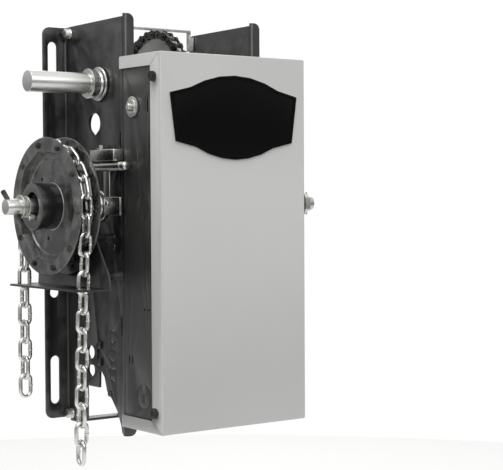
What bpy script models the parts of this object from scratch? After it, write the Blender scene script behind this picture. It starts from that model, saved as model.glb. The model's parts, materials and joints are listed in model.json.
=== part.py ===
"""A wall-mounted commercial door operator with a hand-chain hoist.

The machine hangs on a wall: y = 0 is the wall, -Y faces the room, +X is to the right and +Z up.
The origin lies on the back of the lower tie bar's wall pad, level with the cover's bottom edge.
Lengths below are in millimetres.
"""

import math

import bmesh
import bpy
from mathutils import Matrix, Vector

MM = 0.001
GAP = 0.3
TURN = 2 * math.pi

# Cover and control box
COVER_WIDTH = 210.4
COVER_HEIGHT = 440.0
COVER_BOTTOM = 0.0
COVER_TOP = COVER_BOTTOM + COVER_HEIGHT
COVER_FRONT = -222.1
COVER_BACK = -134.2
COVER_SHEET = 1.2
WINDOW_FRONT = -201.0
WINDOW_LOW = COVER_BOTTOM + 14.5
WINDOW_HIGH = COVER_TOP - 14.8
BOX_HALF_WIDTH = 102.6
BOX_SHEET = 1.5
BOX_FRONT = -219.6
BOX_BACK = -139.4
BOX_LOW = COVER_BOTTOM + 1.8
BOX_HIGH = COVER_TOP - 1.8
SCREW_Y = -209.0
SCREW_HEIGHTS = (25.0, 412.0)

# Side plates
PLATE = 3.0
LEFT_OUTER = -101.7
LEFT_INNER = LEFT_OUTER + PLATE
RIGHT_INNER = 86.0
RIGHT_OUTER = RIGHT_INNER + PLATE
PLATE_FRONT = -139.0
PLATE_TOP = 488.0
PLATE_LOW = -4.0
FOOT_LOW = -12.0
FLANGE_REACH = 32.3
FRONT_FLANGE_REACH = 14.5

# Shafts
SHAFT_Y = -83.9
JACK_Z = 263.0
OUTPUT_Z = 410.6
MOTOR_Z = 127.0
LIMIT_Y = -160.5
LIMIT_Z = 379.0
OUTPUT_RADIUS = 12.7
JACK_RADIUS = 9.525
OUTPUT_LEFT = -200.7
OUTPUT_RIGHT = 104.0
JACK_LEFT = -230.8
JACK_RIGHT = 227.4

# Motor
MOTOR_RADIUS = 55.0
MOTOR_LEFT = -30.0
MOTOR_RIGHT = 56.0

# Roller chain and sprockets, all on one plane
CHAIN_PITCH = 12.7
DRIVEN_TEETH = 32
DRIVER_TEETH = 12
SPROCKET_X = -20.0
CHAIN_HALF_WIDTH = 8.0
CHAIN_HALF_HEIGHT = 5.8

# Belt drive, outside the right plate
BELT_X = 118.0
BIG_PULLEY_RADIUS = 62.0
SMALL_PULLEY_RADIUS = 26.0

# Limit drive, a light chain from the output shaft into the control box
LIMIT_CHAIN_X = -74.0
LIMIT_SPROCKET_RADIUS = 16.0
LIMIT_CHAIN_HALF_WIDTH = 3.2
LIMIT_CHAIN_HALF_HEIGHT = 2.6

# Clutch, at the right end of the jackshaft
SEAT_X = 199.0
COTTER_X = 220.2

# Hand-chain wheel
WHEEL_X = -164.1
WHEEL_HALF_WIDTH = 13.6
WHEEL_RADIUS = 82.4
WHEEL_SIDES = 10
HAND_CHAIN_RADIUS = 71.0
LINK_WIRE = 2.6
LINK_PITCH = 22.2
LINK_HALF_LENGTH = 15.8
LINK_HALF_WIDTH = 9.3

# Hoist bracket, outside the left plate
BRACKET_X = -146.0
BRACKET_PLATE = 2.5
GUIDE_Z = 167.0

MATERIALS = {
    "black_sheet": ((0.035, 0.036, 0.036), 0.45, 0.3),
    "silver_sheet": ((0.60, 0.60, 0.58), 0.38, 0.6),
    "zinc": ((0.62, 0.62, 0.60), 0.28, 1.0),
    "shaft_steel": ((0.66, 0.65, 0.63), 0.24, 1.0),
    "dark_steel": ((0.07, 0.07, 0.07), 0.35, 0.9),
    "cast_grey": ((0.20, 0.20, 0.20), 0.5, 0.5),
    "motor_paint": ((0.045, 0.045, 0.05), 0.5, 0.2),
    "black_plastic": ((0.02, 0.02, 0.02), 0.4, 0.0),
    "rubber": ((0.015, 0.015, 0.015), 0.7, 0.0),
    "nylon": ((0.80, 0.79, 0.74), 0.5, 0.0),
    "board_green": ((0.03, 0.16, 0.07), 0.5, 0.0),
    "coil_copper": ((0.55, 0.30, 0.14), 0.4, 0.8),
    "lining": ((0.22, 0.15, 0.10), 0.8, 0.0),
}

# Each moving body's joint axis passes through its empty
BODY_PIVOTS = {
    "cover": (0, COVER_FRONT, COVER_BOTTOM),
    "jackshaft": (0, SHAFT_Y, JACK_Z),
    "output_shaft": (0, SHAFT_Y, OUTPUT_Z),
    "motor_rotor": (0, SHAFT_Y, MOTOR_Z),
    "hoist_wheel": (WHEEL_X, SHAFT_Y, JACK_Z),
    "limit_shaft": (0, LIMIT_Y, LIMIT_Z),
    "limit_nut_left": (-50, LIMIT_Y, LIMIT_Z),
    "limit_nut_right": (20, LIMIT_Y, LIMIT_Z),
    "engage_lever": (-110, -123, 310.2),
}


# ---- scene and object helpers


def clear_scene():
    for obj in list(bpy.data.objects):
        bpy.data.objects.remove(obj, do_unlink=True)


def material(name):
    found = bpy.data.materials.get(name)
    if found:
        return found
    color, roughness, metallic = MATERIALS[name]
    made = bpy.data.materials.new(name)
    made.use_nodes = True
    shader = made.node_tree.nodes["Principled BSDF"]
    shader.inputs["Base Color"].default_value = (*color, 1.0)
    shader.inputs["Roughness"].default_value = roughness
    shader.inputs["Metallic"].default_value = metallic
    return made


def make_pivots():
    for name, place in BODY_PIVOTS.items():
        pivot = bpy.data.objects.new("pivot_" + name, None)
        pivot.location = Vector(place) * MM
        bpy.context.scene.collection.objects.link(pivot)


def add_object(name, bm, finish, body=None):
    """Makes the object; bm is in millimetres and in the machine's frame."""
    pivot = Vector(BODY_PIVOTS[body]) if body else Vector((0, 0, 0))
    bmesh.ops.recalc_face_normals(bm, faces=bm.faces)
    bmesh.ops.translate(bm, verts=bm.verts, vec=-pivot)
    bmesh.ops.scale(bm, verts=bm.verts, vec=(MM, MM, MM))
    mesh = bpy.data.meshes.new(name)
    bm.to_mesh(mesh)
    bm.free()
    mesh.shade_smooth()
    mesh.set_sharp_from_angle(angle=math.radians(32))
    mesh.materials.append(material(finish))
    obj = bpy.data.objects.new(name, mesh)
    bpy.context.scene.collection.objects.link(obj)
    if body:
        obj.parent = bpy.data.objects["pivot_" + body]
    return obj


def add_helper(name, bm):
    """Makes a hidden cutter or add-on for a Boolean."""
    obj = add_object(name, bm, "dark_steel")
    obj.hide_render = True
    obj.display_type = "WIRE"
    return obj


def boolean(obj, helper, operation):
    modifier = obj.modifiers.new(helper.name, "BOOLEAN")
    modifier.operation = operation
    modifier.solver = "EXACT"
    modifier.object = helper
    helper.parent = obj.parent
    helper.location = -obj.parent.location if obj.parent else (0, 0, 0)


def cut(obj, *cutters):
    for number, bm in enumerate(cutters):
        boolean(obj, add_helper(f"{obj.name}_cut{number}", bm), "DIFFERENCE")


def join(obj, *additions):
    for number, bm in enumerate(additions):
        boolean(obj, add_helper(f"{obj.name}_add{number}", bm), "UNION")


# ---- shapes, each returned as a bmesh in millimetres


def block(low, high, bevel=0.0):
    bm = bmesh.new()
    bmesh.ops.create_cube(bm, size=1.0)
    size = Vector(high) - Vector(low)
    bmesh.ops.scale(bm, verts=bm.verts, vec=size)
    bmesh.ops.translate(bm, verts=bm.verts, vec=(Vector(low) + Vector(high)) / 2)
    if bevel:
        bmesh.ops.bevel(
            bm, geom=bm.edges, offset=bevel, segments=1, affect="EDGES", profile=0.5
        )
    return bm


def circle(u, v, radius, steps=24, start=0.0):
    angles = (start + TURN * i / steps for i in range(steps))
    return [(u + radius * math.cos(a), v + radius * math.sin(a)) for a in angles]


def arc(u, v, radius, first, last, steps):
    """Points of an arc, angles in degrees."""
    angles = (math.radians(first + (last - first) * i / steps) for i in range(steps + 1))
    return [(u + radius * math.cos(a), v + radius * math.sin(a)) for a in angles]


def slot(u, low, high, radius, steps=6):
    return arc(u, high - radius, radius, 0, 180, steps) + arc(
        u, low + radius, radius, 180, 360, steps
    )


def slab(axis, low, high, outline, *holes):
    """A flat sheet across the axis: the outline and holes are points in the other two axes."""
    order = {"X": (2, 0, 1), "Y": (0, 2, 1), "Z": (0, 1, 2)}[axis]
    bm = bmesh.new()
    for loop in (outline, *holes):
        corners = []
        for u, v in loop:
            place = (u, v, low)
            corners.append(bm.verts.new([place[i] for i in order]))
        for first, second in zip(corners, corners[1:] + corners[:1]):
            bm.edges.new((first, second))
    bmesh.ops.triangle_fill(bm, use_beauty=True, edges=bm.edges[:])
    grown = bmesh.ops.extrude_face_region(bm, geom=bm.faces[:])
    moved = [item for item in grown["geom"] if isinstance(item, bmesh.types.BMVert)]
    push = [0.0, 0.0, 0.0]
    push["XYZ".index(axis)] = high - low
    bmesh.ops.translate(bm, verts=moved, vec=push)
    return bm


def turned(profile, at, steps=24, axis="X", bored=False):
    """Spins (along, radius) points about the axis through at. A bored profile is a closed ring."""
    bm = bmesh.new()
    points = [bm.verts.new((along, radius, 0)) for along, radius in profile]
    edges = [bm.edges.new(pair) for pair in zip(points, points[1:])]
    if bored:
        edges.append(bm.edges.new((points[-1], points[0])))
    bmesh.ops.spin(
        bm,
        geom=points + edges,
        cent=(0, 0, 0),
        axis=(1, 0, 0),
        dvec=(0, 0, 0),
        angle=TURN,
        steps=steps,
        use_merge=True,
    )
    if not bored:
        bmesh.ops.holes_fill(bm, edges=bm.edges, sides=steps)
    if axis == "Y":
        bmesh.ops.rotate(bm, verts=bm.verts, matrix=Matrix.Rotation(TURN / 4, 3, "Z"))
    if axis == "Z":
        bmesh.ops.rotate(bm, verts=bm.verts, matrix=Matrix.Rotation(-TURN / 4, 3, "Y"))
    bmesh.ops.translate(bm, verts=bm.verts, vec=at)
    return bm


def rod(axis, low, high, radius, at, steps=24, chamfer=0.8):
    """A plain round bar; at gives its line, and its own axis is measured from zero."""
    profile = [
        (low, radius - chamfer),
        (low + chamfer, radius),
        (high - chamfer, radius),
        (high, radius - chamfer),
    ]
    return turned(profile, at, steps, axis)


def bored_disc(low, high, bore, radius, at, steps=32, axis="X"):
    profile = [(low, bore), (low, radius), (high, radius), (high, bore)]
    return turned(profile, at, steps, axis, bored=True)


def hex_prism(low, high, across, at, bore=0.0):
    """A hexagonal nut or head along X; across is its width across flats."""
    corner = across / 2 / math.cos(math.radians(30))
    outline = circle(at[1], at[2], corner, 6, math.radians(30))
    holes = [circle(at[1], at[2], bore, 24)] if bore else []
    return slab("X", at[0] + low, at[0] + high, outline, *holes)


def loop_band(first, second, half_height, x_low, x_high, steps=20):
    """A chain or belt run round two round wheels: first and second are (y, z, radius)."""
    span = math.hypot(second[0] - first[0], second[1] - first[1])
    heading = math.atan2(second[1] - first[1], second[0] - first[0])
    lean = math.acos((first[2] - second[2]) / span)

    def outline(offset):
        half = TURN / 2
        big = (heading + lean, heading + 2 * half - lean)
        small = (heading - lean, heading + lean)
        points = []
        for (y, z, radius), (start, end) in ((first, big), (second, small)):
            for i in range(steps + 1):
                angle = start + (end - start) * i / steps
                reach = radius + offset
                points.append((y + reach * math.cos(angle), z + reach * math.sin(angle)))
        return points

    return slab("X", x_low, x_high, outline(half_height), outline(-half_height))


# ---- frame


def web_outline():
    """The side plate's outline in (y, z): a foot and a cut-out at the lower front."""
    return [
        (0, PLATE_LOW),
        (0, PLATE_TOP - 2),
        (PLATE_FRONT, PLATE_TOP),
        (PLATE_FRONT, FOOT_LOW),
        (-133, FOOT_LOW),
        (-129, FOOT_LOW + 4),
        (-127, 0),
        (-119.2, 15.4),
        (-106.8, 29),
        (-95.4, 38),
        (-89.4, 54.6),
        (-83, 60.8),
        (-78, 60.8),
        (-77, 40.5),
        (-47, 40.5),
        (-47, PLATE_LOW),
    ]


def shaft_holes():
    return [
        circle(SHAFT_Y, OUTPUT_Z, 17.0, 24),
        circle(SHAFT_Y, JACK_Z, 14.0, 24),
    ]


def wall_flange(inner, outer, side):
    """The flange against the wall, with two slots and two round holes."""
    low, high = PLATE_LOW, PLATE_TOP - 2.5
    corner = 9.0
    edge = outer + side * FLANGE_REACH
    middle = outer + side * 19.3
    rounded = arc(edge - side * corner, high - corner, corner, 90, 90 + side * -90, 5)
    lower = arc(edge - side * corner, low + corner, corner, 90 + side * -90, side * -180 + 90, 5)
    outline = [(inner, low), (inner, high), *rounded, *lower]
    return slab(
        "Y",
        -PLATE,
        0,
        outline,
        slot(middle, 407.5, 467.5, 6.6),
        slot(middle, 14, 74.5, 6.6),
        circle(middle, 154, 6.5, 16),
        circle(middle, 327, 6.5, 16),
    )


def front_flange(start, side):
    """The narrow flange that carries the control box, with rounded ends."""
    edge = start + side * FRONT_FLANGE_REACH
    corner = 8.0
    low, high = FOOT_LOW, PLATE_TOP + 3.5
    top = arc(edge - side * corner, high - corner, corner, 90, 90 - side * 90, 5)
    bottom = arc(edge - side * corner, low + corner, corner, 90 - side * 90, 90 - side * 180, 5)
    outline = [(start, low), (start, high - 3), (start + side * 3, high), *top, *bottom]
    return slab("Y", PLATE_FRONT, PLATE_FRONT + PLATE, outline)


def side_plates():
    teardrop = arc(-71.0, 363.0, 13.2, -35, 215, 14) + [(-70.7, 347.0)]
    relief = [(-12.0, 453), (-10.5, 453), (-4.1, 376), (-5.6, 376)]
    web = slab(
        "X",
        LEFT_OUTER,
        LEFT_INNER,
        web_outline(),
        *shaft_holes(),
        teardrop,
        relief,
        circle(-58.0, 82.5, 8.4, 16),
        circle(-58.4, 60.8, 8.4, 16),
    )
    left = add_object("left_side_plate", web, "black_sheet")
    join(left, wall_flange(LEFT_INNER, LEFT_OUTER, -1), front_flange(LEFT_OUTER, 1))

    motor_hole = circle(SHAFT_Y, MOTOR_Z, 18.0, 24)
    web = slab("X", RIGHT_INNER, RIGHT_OUTER, web_outline(), *shaft_holes(), motor_hole)
    right = add_object("right_side_plate", web, "black_sheet")
    join(right, wall_flange(RIGHT_INNER, RIGHT_OUTER, 1), front_flange(RIGHT_INNER, 1))


def cross_members():
    low_x = LEFT_INNER + GAP
    high_x = RIGHT_INNER - GAP
    strap_low = PLATE_TOP + 2.7
    step_x = -58.0
    strap = block((step_x, -7.5, strap_low), (high_x, -1, strap_low + PLATE))
    upper = add_object("upper_tie_strap", strap, "zinc")
    join(
        upper,
        block((step_x - PLATE, -7.4, 479.0), (step_x + 0.5, -1.1, strap_low + 2.8)),
        block((low_x, -7.5, 476.2), (step_x - 0.5, -1, 479.2)),
        block((low_x, -16, 466), (low_x + 2.5, -1.1, 479.0)),
        block((high_x - 2.5, -16, 466), (high_x, -1.1, 484.0)),
        block((high_x - 2.5, -7.4, 483.0), (high_x, -1.1, strap_low + 1)),
    )

    bar_low = PLATE_LOW - 5.5
    bar = add_object(
        "lower_tie_bar", block((low_x, -20, bar_low), (high_x, -1, bar_low + PLATE)), "black_sheet"
    )
    join(
        bar,
        block((low_x, -19.9, bar_low + 1), (low_x + 2.5, -1.1, 14)),
        block((high_x - 2.5, -19.9, bar_low + 1), (high_x, -1.1, 14)),
        block((-28, -PLATE, bar_low), (28, 0, 14)),
    )

    low, high = MOTOR_Z - 61, MOTOR_Z - 58
    shelf = add_object("motor_shelf", block((low_x, -132, low), (high_x, -30, high)), "black_sheet")
    join(
        shelf,
        block((low_x, -130, low + 1), (low_x + 2.5, -68, low + 34)),
        block((high_x - 2.5, -130, low + 1), (high_x, -68, low + 34)),
        block((-26, SHAFT_Y - 34, low + 1), (52, SHAFT_Y + 34, high + 10)),
    )
    cut(shelf, rod("X", -60, 80, MOTOR_RADIUS + GAP, (0, SHAFT_Y, MOTOR_Z), 40, 1))


def frame_bolts():
    """The two flanged hex screws that hold the tie bars to the left plate."""
    for word, y, z in (("upper", -12.3, 477.6), ("lower", -10.2, 1.2)):
        face = LEFT_OUTER - GAP
        washer = turned([(face - 1.8, 6.1), (face, 6.8)], (0, y, z), 16)
        head = hex_prism(-7.5, -1.0, 10.0, (face, y, z))
        join(add_object(f"frame_bolt_{word}", washer, "zinc"), head)


# ---- bearings and shafts


def flanged_bearing(name, face, side, z, shaft_radius, flange, barrel, steps):
    """A bearing whose flange lies on the plate's outer face; its barrel passes through the hole."""
    bore = shaft_radius / math.cos(TURN / 2 / steps) + 0.02
    profile = [
        (-PLATE - 3.0, bore),
        (-PLATE - 3.0, barrel),
        (GAP, barrel),
        (GAP, flange),
        (3.0, flange),
        (4.2, flange - 1.4),
        (4.2, bore + 3.5),
        (7.0, bore + 2.8),
        (7.0, bore),
    ]
    placed = [(face + side * along, radius) for along, radius in profile]
    add_object(name, turned(placed, (0, SHAFT_Y, z), steps, bored=True), "zinc")


def bearings():
    sides = (("left", LEFT_OUTER, -1), ("right", RIGHT_OUTER, 1))
    for word, face, side in sides:
        flanged_bearing(
            f"output_bearing_{word}", face, side, OUTPUT_Z, OUTPUT_RADIUS, 21.0, 16.5, 32
        )
        flanged_bearing(
            f"jackshaft_bearing_{word}", face, side, JACK_Z, JACK_RADIUS, 19.0, 13.5, 24
        )


def sprocket(name, x, z, rim, bore, hub, hub_low, hub_high, body, finish, y=SHAFT_Y, width=3.4):
    profile = [
        (x + hub_low, bore),
        (x + hub_low, hub),
        (x - width, hub),
        (x - width, rim - 4),
        (x - width * 0.55, rim),
        (x + width * 0.55, rim),
        (x + width, rim - 4),
        (x + width, hub),
        (x + hub_high, hub),
        (x + hub_high, bore),
    ]
    steps = 40 if rim > 40 else 20
    add_object(name, turned(profile, (0, y, z), steps, bored=True), finish, body)


def pitch_radius(teeth):
    return CHAIN_PITCH / 2 / math.sin(TURN / 2 / teeth)


def output_line():
    body = "output_shaft"
    shaft = rod("X", OUTPUT_LEFT, OUTPUT_RIGHT, OUTPUT_RADIUS, (0, SHAFT_Y, OUTPUT_Z), 32, 1.2)
    add_object("output_shaft", shaft, "shaft_steel", body)
    rim = pitch_radius(DRIVEN_TEETH) - CHAIN_HALF_HEIGHT - GAP
    bore = OUTPUT_RADIUS + GAP
    sprocket("driven_sprocket", SPROCKET_X, OUTPUT_Z, rim, bore, 24.0, -4.0, 22.0, body, "zinc")
    sprocket(
        "limit_drive_sprocket",
        LIMIT_CHAIN_X,
        OUTPUT_Z,
        LIMIT_SPROCKET_RADIUS + 2.0,
        bore,
        15.6,
        -4.0,
        12.0,
        body,
        "dark_steel",
        width=1.2,
    )


def jackshaft_line():
    body = "jackshaft"
    centre = (0, SHAFT_Y, JACK_Z)
    add_object(
        "jackshaft",
        rod("X", JACK_LEFT, JACK_RIGHT, JACK_RADIUS, centre, 24, 1.0),
        "shaft_steel",
        body,
    )
    rim = pitch_radius(DRIVER_TEETH) - CHAIN_HALF_HEIGHT - GAP
    bore = JACK_RADIUS + GAP
    sprocket(
        "jackshaft_sprocket", SPROCKET_X, JACK_Z, rim, bore, 14.5, -4.0, 18.0, body, "dark_steel"
    )

    groove = 6.5
    wide = 8.5
    pulley = [
        (BELT_X - 14, bore),
        (BELT_X - 14, 20),
        (BELT_X - wide, 20),
        (BELT_X - wide, BIG_PULLEY_RADIUS),
        (BELT_X - groove, BIG_PULLEY_RADIUS),
        (BELT_X - 4, BIG_PULLEY_RADIUS - 11),
        (BELT_X + 4, BIG_PULLEY_RADIUS - 11),
        (BELT_X + groove, BIG_PULLEY_RADIUS),
        (BELT_X + wide, BIG_PULLEY_RADIUS),
        (BELT_X + wide, bore),
    ]
    add_object("clutch_pulley", turned(pulley, centre, 32, bored=True), "cast_grey", body)
    face = BELT_X + wide
    lining = bored_disc(face + GAP, face + 4, bore + 12, 48, centre, 28)
    add_object("clutch_lining", lining, "lining", body)
    plate = [
        (face + 4 + GAP, bore),
        (face + 4 + GAP, 50),
        (face + 9, 50),
        (face + 9, 22),
        (face + 15, 19),
        (face + 15, bore),
    ]
    add_object("clutch_plate", turned(plate, centre, 28, bored=True), "cast_grey", body)
    seat = [
        (SEAT_X - 5, bore),
        (SEAT_X - 5, 17),
        (SEAT_X - 2.5, 26),
        (SEAT_X, 26),
        (SEAT_X, bore),
    ]
    add_object("spring_seat", turned(seat, centre, 24, bored=True), "dark_steel", body)
    add_object(
        "clutch_spring",
        coil(face + 15 + GAP, SEAT_X - 5 - GAP, 5.0, 15.5, 2.4, centre),
        "dark_steel",
        body,
    )
    nut = hex_prism(SEAT_X + GAP, SEAT_X + 18, 27, centre, bore)
    add_object("clutch_nut", nut, "zinc", body)
    pins = (
        ("wheel_retaining_pin", -222.0, 3.0, 22.5, math.radians(32), "dark_steel"),
        ("clutch_cotter_pin", COTTER_X, 1.6, 15.0, 0.0, "zinc"),
    )
    for name, x, radius, reach, tilt, finish in pins:
        place = (x, SHAFT_Y, JACK_Z)
        add_object(name, pin(radius, -reach, reach, tilt, place), finish, body)
    cut(
        bpy.data.objects["jackshaft"],
        *[pin(radius + GAP, -16, 16, tilt, (x, SHAFT_Y, JACK_Z)) for _, x, radius, _, tilt, _ in pins],
    )


def pin(radius, low, high, tilt, at):
    """A round pin across the shaft, tilted from upright in the X-Z plane."""
    bm = rod("Z", low, high, radius, (0, 0, 0), 12, 0.5)
    bmesh.ops.rotate(bm, verts=bm.verts, matrix=Matrix.Rotation(-tilt, 3, "Y"))
    bmesh.ops.translate(bm, verts=bm.verts, vec=at)
    return bm


def coil(low, high, turns, radius, wire, at, around=5, per_turn=12):
    """A compression spring along X, swept from rings of points."""
    bm = bmesh.new()
    count = int(turns * per_turn)
    rings = []
    for i in range(count + 1):
        angle = TURN * i / per_turn
        along = low + wire + (high - low - 2 * wire) * i / count
        out = Vector((0, math.cos(angle), math.sin(angle)))
        ring = []
        for j in range(around):
            turn = TURN * j / around
            shift = out * (radius + wire * math.cos(turn))
            ring.append(bm.verts.new(shift + Vector((along + wire * math.sin(turn), 0, 0))))
        rings.append(ring)
    for near, far in zip(rings, rings[1:]):
        for j in range(around):
            k = (j + 1) % around
            bm.faces.new((near[j], near[k], far[k], far[j]))
    bm.faces.new(rings[0])
    bm.faces.new(rings[-1][::-1])
    bmesh.ops.translate(bm, verts=bm.verts, vec=at)
    return bm


# ---- hand-chain hoist


def dished_disc(loops, at, steps=40):
    """A closed ring lofted through (along, radius, ten_sided) loops about X."""
    bm = bmesh.new()
    rings = []
    for along, radius, flat_sided in loops:
        ring = []
        for i in range(steps):
            angle = TURN * i / steps
            reach = radius
            if flat_sided:
                side = TURN / WHEEL_SIDES
                into = (angle + side / 2) % side - side / 2
                reach = radius * math.cos(side / 2) / math.cos(into)
            place = (along, reach * math.cos(angle), reach * math.sin(angle))
            ring.append(bm.verts.new(place))
        rings.append(ring)
    for near, far in zip(rings, rings[1:] + rings[:1]):
        for i in range(steps):
            k = (i + 1) % steps
            bm.faces.new((near[i], near[k], far[k], far[i]))
    bmesh.ops.rotate(bm, verts=bm.verts, matrix=Matrix.Rotation(math.radians(17), 3, "X"))
    bmesh.ops.translate(bm, verts=bm.verts, vec=at)
    return bm


def wheel_half(side):
    """One stamped half of the pocket wheel; side is -1 for the half away from the machine."""
    rim = WHEEL_HALF_WIDTH
    hub = 28.6
    loops = [
        (rim, WHEEL_RADIUS, False),
        (rim, 69.8, True),
        (rim - 7.4, hub, False),
        (rim - 9.4, hub, False),
        (rim - 2.0, 67.2, True),
        (rim - 2.0, WHEEL_RADIUS, False),
    ]
    placed = [(side * along, radius, flat) for along, radius, flat in loops]
    return dished_disc(placed, (WHEEL_X, SHAFT_Y, JACK_Z))


def hoist_wheel():
    body = "hoist_wheel"
    centre = (WHEEL_X, SHAFT_Y, JACK_Z)
    add_object("wheel_half_outer", wheel_half(-1), "black_sheet", body)
    add_object("wheel_half_inner", wheel_half(1), "black_sheet", body)
    flange = WHEEL_HALF_WIDTH - 10.4 - GAP
    hub = [
        (-31.8, 17.0),
        (-31.8, 27.0),
        (-31.0, 27.8),
        (-flange, 27.8),
        (-flange, 58.0),
        (flange, 58.0),
        (flange, 27.8),
        (12.0, 27.8),
        (12.0, 10.2),
        (-23.0, 10.2),
        (-23.0, 17.0),
    ]
    add_object("wheel_hub", turned(hub, centre, 28, bored=True), "motor_paint", body)


def link(flat, at, lean):
    """One chain link, its length along Z before it leans in the Y-Z plane."""
    bm = bmesh.new()
    end = LINK_HALF_WIDTH - LINK_WIRE
    straight = LINK_HALF_LENGTH - LINK_HALF_WIDTH
    centres = arc(0, straight, end, 0, 180, 4) + arc(0, -straight, end, 180, 360, 4)
    middle = [Vector((0, straight)), Vector((0, -straight))]
    around = 5
    rings = []
    for index, (u, v) in enumerate(centres):
        out = (Vector((u, v)) - middle[index > 4]).normalized()
        ring = []
        for j in range(around):
            turn = TURN * (j / around + 0.5)
            shift = out * LINK_WIRE * math.cos(turn)
            ring.append(bm.verts.new((u + shift.x, LINK_WIRE * math.sin(turn), v + shift.y)))
        rings.append(ring)
    for near, far in zip(rings, rings[1:] + rings[:1]):
        for j in range(around):
            k = (j + 1) % around
            bm.faces.new((near[j], near[k], far[k], far[j]))
    if not flat:
        bmesh.ops.rotate(bm, verts=bm.verts, matrix=Matrix.Rotation(TURN / 4, 3, "Z"))
    bmesh.ops.rotate(bm, verts=bm.verts, matrix=Matrix.Rotation(lean, 3, "X"))
    bmesh.ops.translate(bm, verts=bm.verts, vec=at)
    return bm


def chain_places():
    """(x, y, z, lean) of each link: over the wheel, then down both sides."""
    half_turn = 10
    over = []
    for i in range(half_turn + 1):
        angle = TURN / 2 * i / half_turn
        y = SHAFT_Y - HAND_CHAIN_RADIUS * math.cos(angle)
        z = JACK_Z + HAND_CHAIN_RADIUS * math.sin(angle)
        over.append((WHEEL_X, y, z, -angle))
    front = []
    y, z = over[0][1:3]
    for i in range(13):
        lean = math.radians(min(3.6, 0.8 * (i + 1)))
        y += LINK_PITCH * math.sin(lean)
        z -= LINK_PITCH * math.cos(lean)
        front.append((WHEEL_X, y, z, lean))
    back = []
    x, y, z = over[-1][:3]
    for i in range(10):
        lean = math.radians(max(0, 3.2 - i))
        x -= 1.0 * (i < 3)
        y += LINK_PITCH * math.sin(lean)
        z -= LINK_PITCH * math.cos(lean)
        back.append((x, y, z, lean))
    return front[::-1] + over + back


def hand_chain():
    """All the links, joined where they bear on each other so that the run is one solid."""
    places = chain_places()
    whole = bmesh.new()
    for index, (x, y, z, lean) in enumerate(places):
        piece = link(index % 2 == 1, (x, y, z), lean)
        mesh = bpy.data.meshes.new("link")
        bmesh.ops.recalc_face_normals(piece, faces=piece.faces)
        piece.to_mesh(mesh)
        piece.free()
        whole.from_mesh(mesh)
        bpy.data.meshes.remove(mesh)
    chain = add_object("hand_chain", whole, "zinc")
    speck = block((WHEEL_X - 0.5, SHAFT_Y - 0.5, JACK_Z + 70.5), (WHEEL_X, SHAFT_Y, JACK_Z + 71))
    boolean(chain, add_helper("hand_chain_weld", speck), "DIFFERENCE")
    chain.modifiers[0].use_self = True


def hoist_bracket():
    """A folded plate behind the wheel whose lower lip guides both runs of the chain."""
    back = slab(
        "X",
        BRACKET_X,
        BRACKET_X + BRACKET_PLATE,
        [
            (-176, GUIDE_Z - 1),
            (-174, 183),
            (-148, 220),
            (-138, 258),
            (-118, 302),
            (-50, 302),
            (-30, 258),
            (-20, 220),
            (-8, 183),
            (-6, GUIDE_Z - 1),
        ],
        circle(SHAFT_Y, JACK_Z, 22, 24),
    )
    bracket = add_object("hoist_bracket", back, "black_sheet")
    lip_edge = BRACKET_X + BRACKET_PLATE - 0.1
    guide = slab(
        "Z",
        GUIDE_Z - 1.1,
        GUIDE_Z + 1,
        [
            (lip_edge, -178),
            (-178, -178),
            (-188, -168),
            (-188, -12),
            (-182, -6),
            (-179, -6),
            (-179, -21),
            (-155, -21),
            (-155, -6),
            (lip_edge, -6),
        ],
        circle(WHEEL_X, -150.8, 12.8, 20),
    )
    ear = block((BRACKET_X + 1, -33, 185), (LEFT_OUTER - GAP, -30.5, 218))
    foot = block((LEFT_OUTER - GAP - 2.5, -33, 185), (LEFT_OUTER - GAP, -16, 218))
    join(bracket, guide, ear, foot)
    for word, y, z in (("upper", -112, 225.0), ("lower", -132, 180.0)):
        near = BRACKET_X + BRACKET_PLATE + GAP
        post = rod("X", near, LEFT_OUTER - GAP, 5.0, (0, y, z), 12, 0.5)
        add_object(f"hoist_standoff_{word}", post, "zinc")


def engage_lever():
    body = "engage_lever"
    x, y, z = BODY_PIVOTS[body]
    carrier = block((x - 7, -138.8, z + 6.2), (LEFT_OUTER - GAP, -84, z + 20.6), 1.2)
    add_object("lever_bracket", carrier, "zinc")
    dome = [(-35.0, 3.0), (-33.6, 4.8), (-31.5, 5.4), (35.0, 5.4), (36.0, 4.6)]
    add_object("lever_rod", turned(dome, (x, y, z), 16, axis="Y"), "zinc", body)
    arm = block((x - 1.6, -120, z - 58), (x + 1.4, -107, z - 5.7))
    lever = add_object("lever_arm", arm, "zinc", body)
    join(lever, block((x - 1.7, -144, z - 58.1), (x + 1.5, -110, z - 36.4)))


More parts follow.
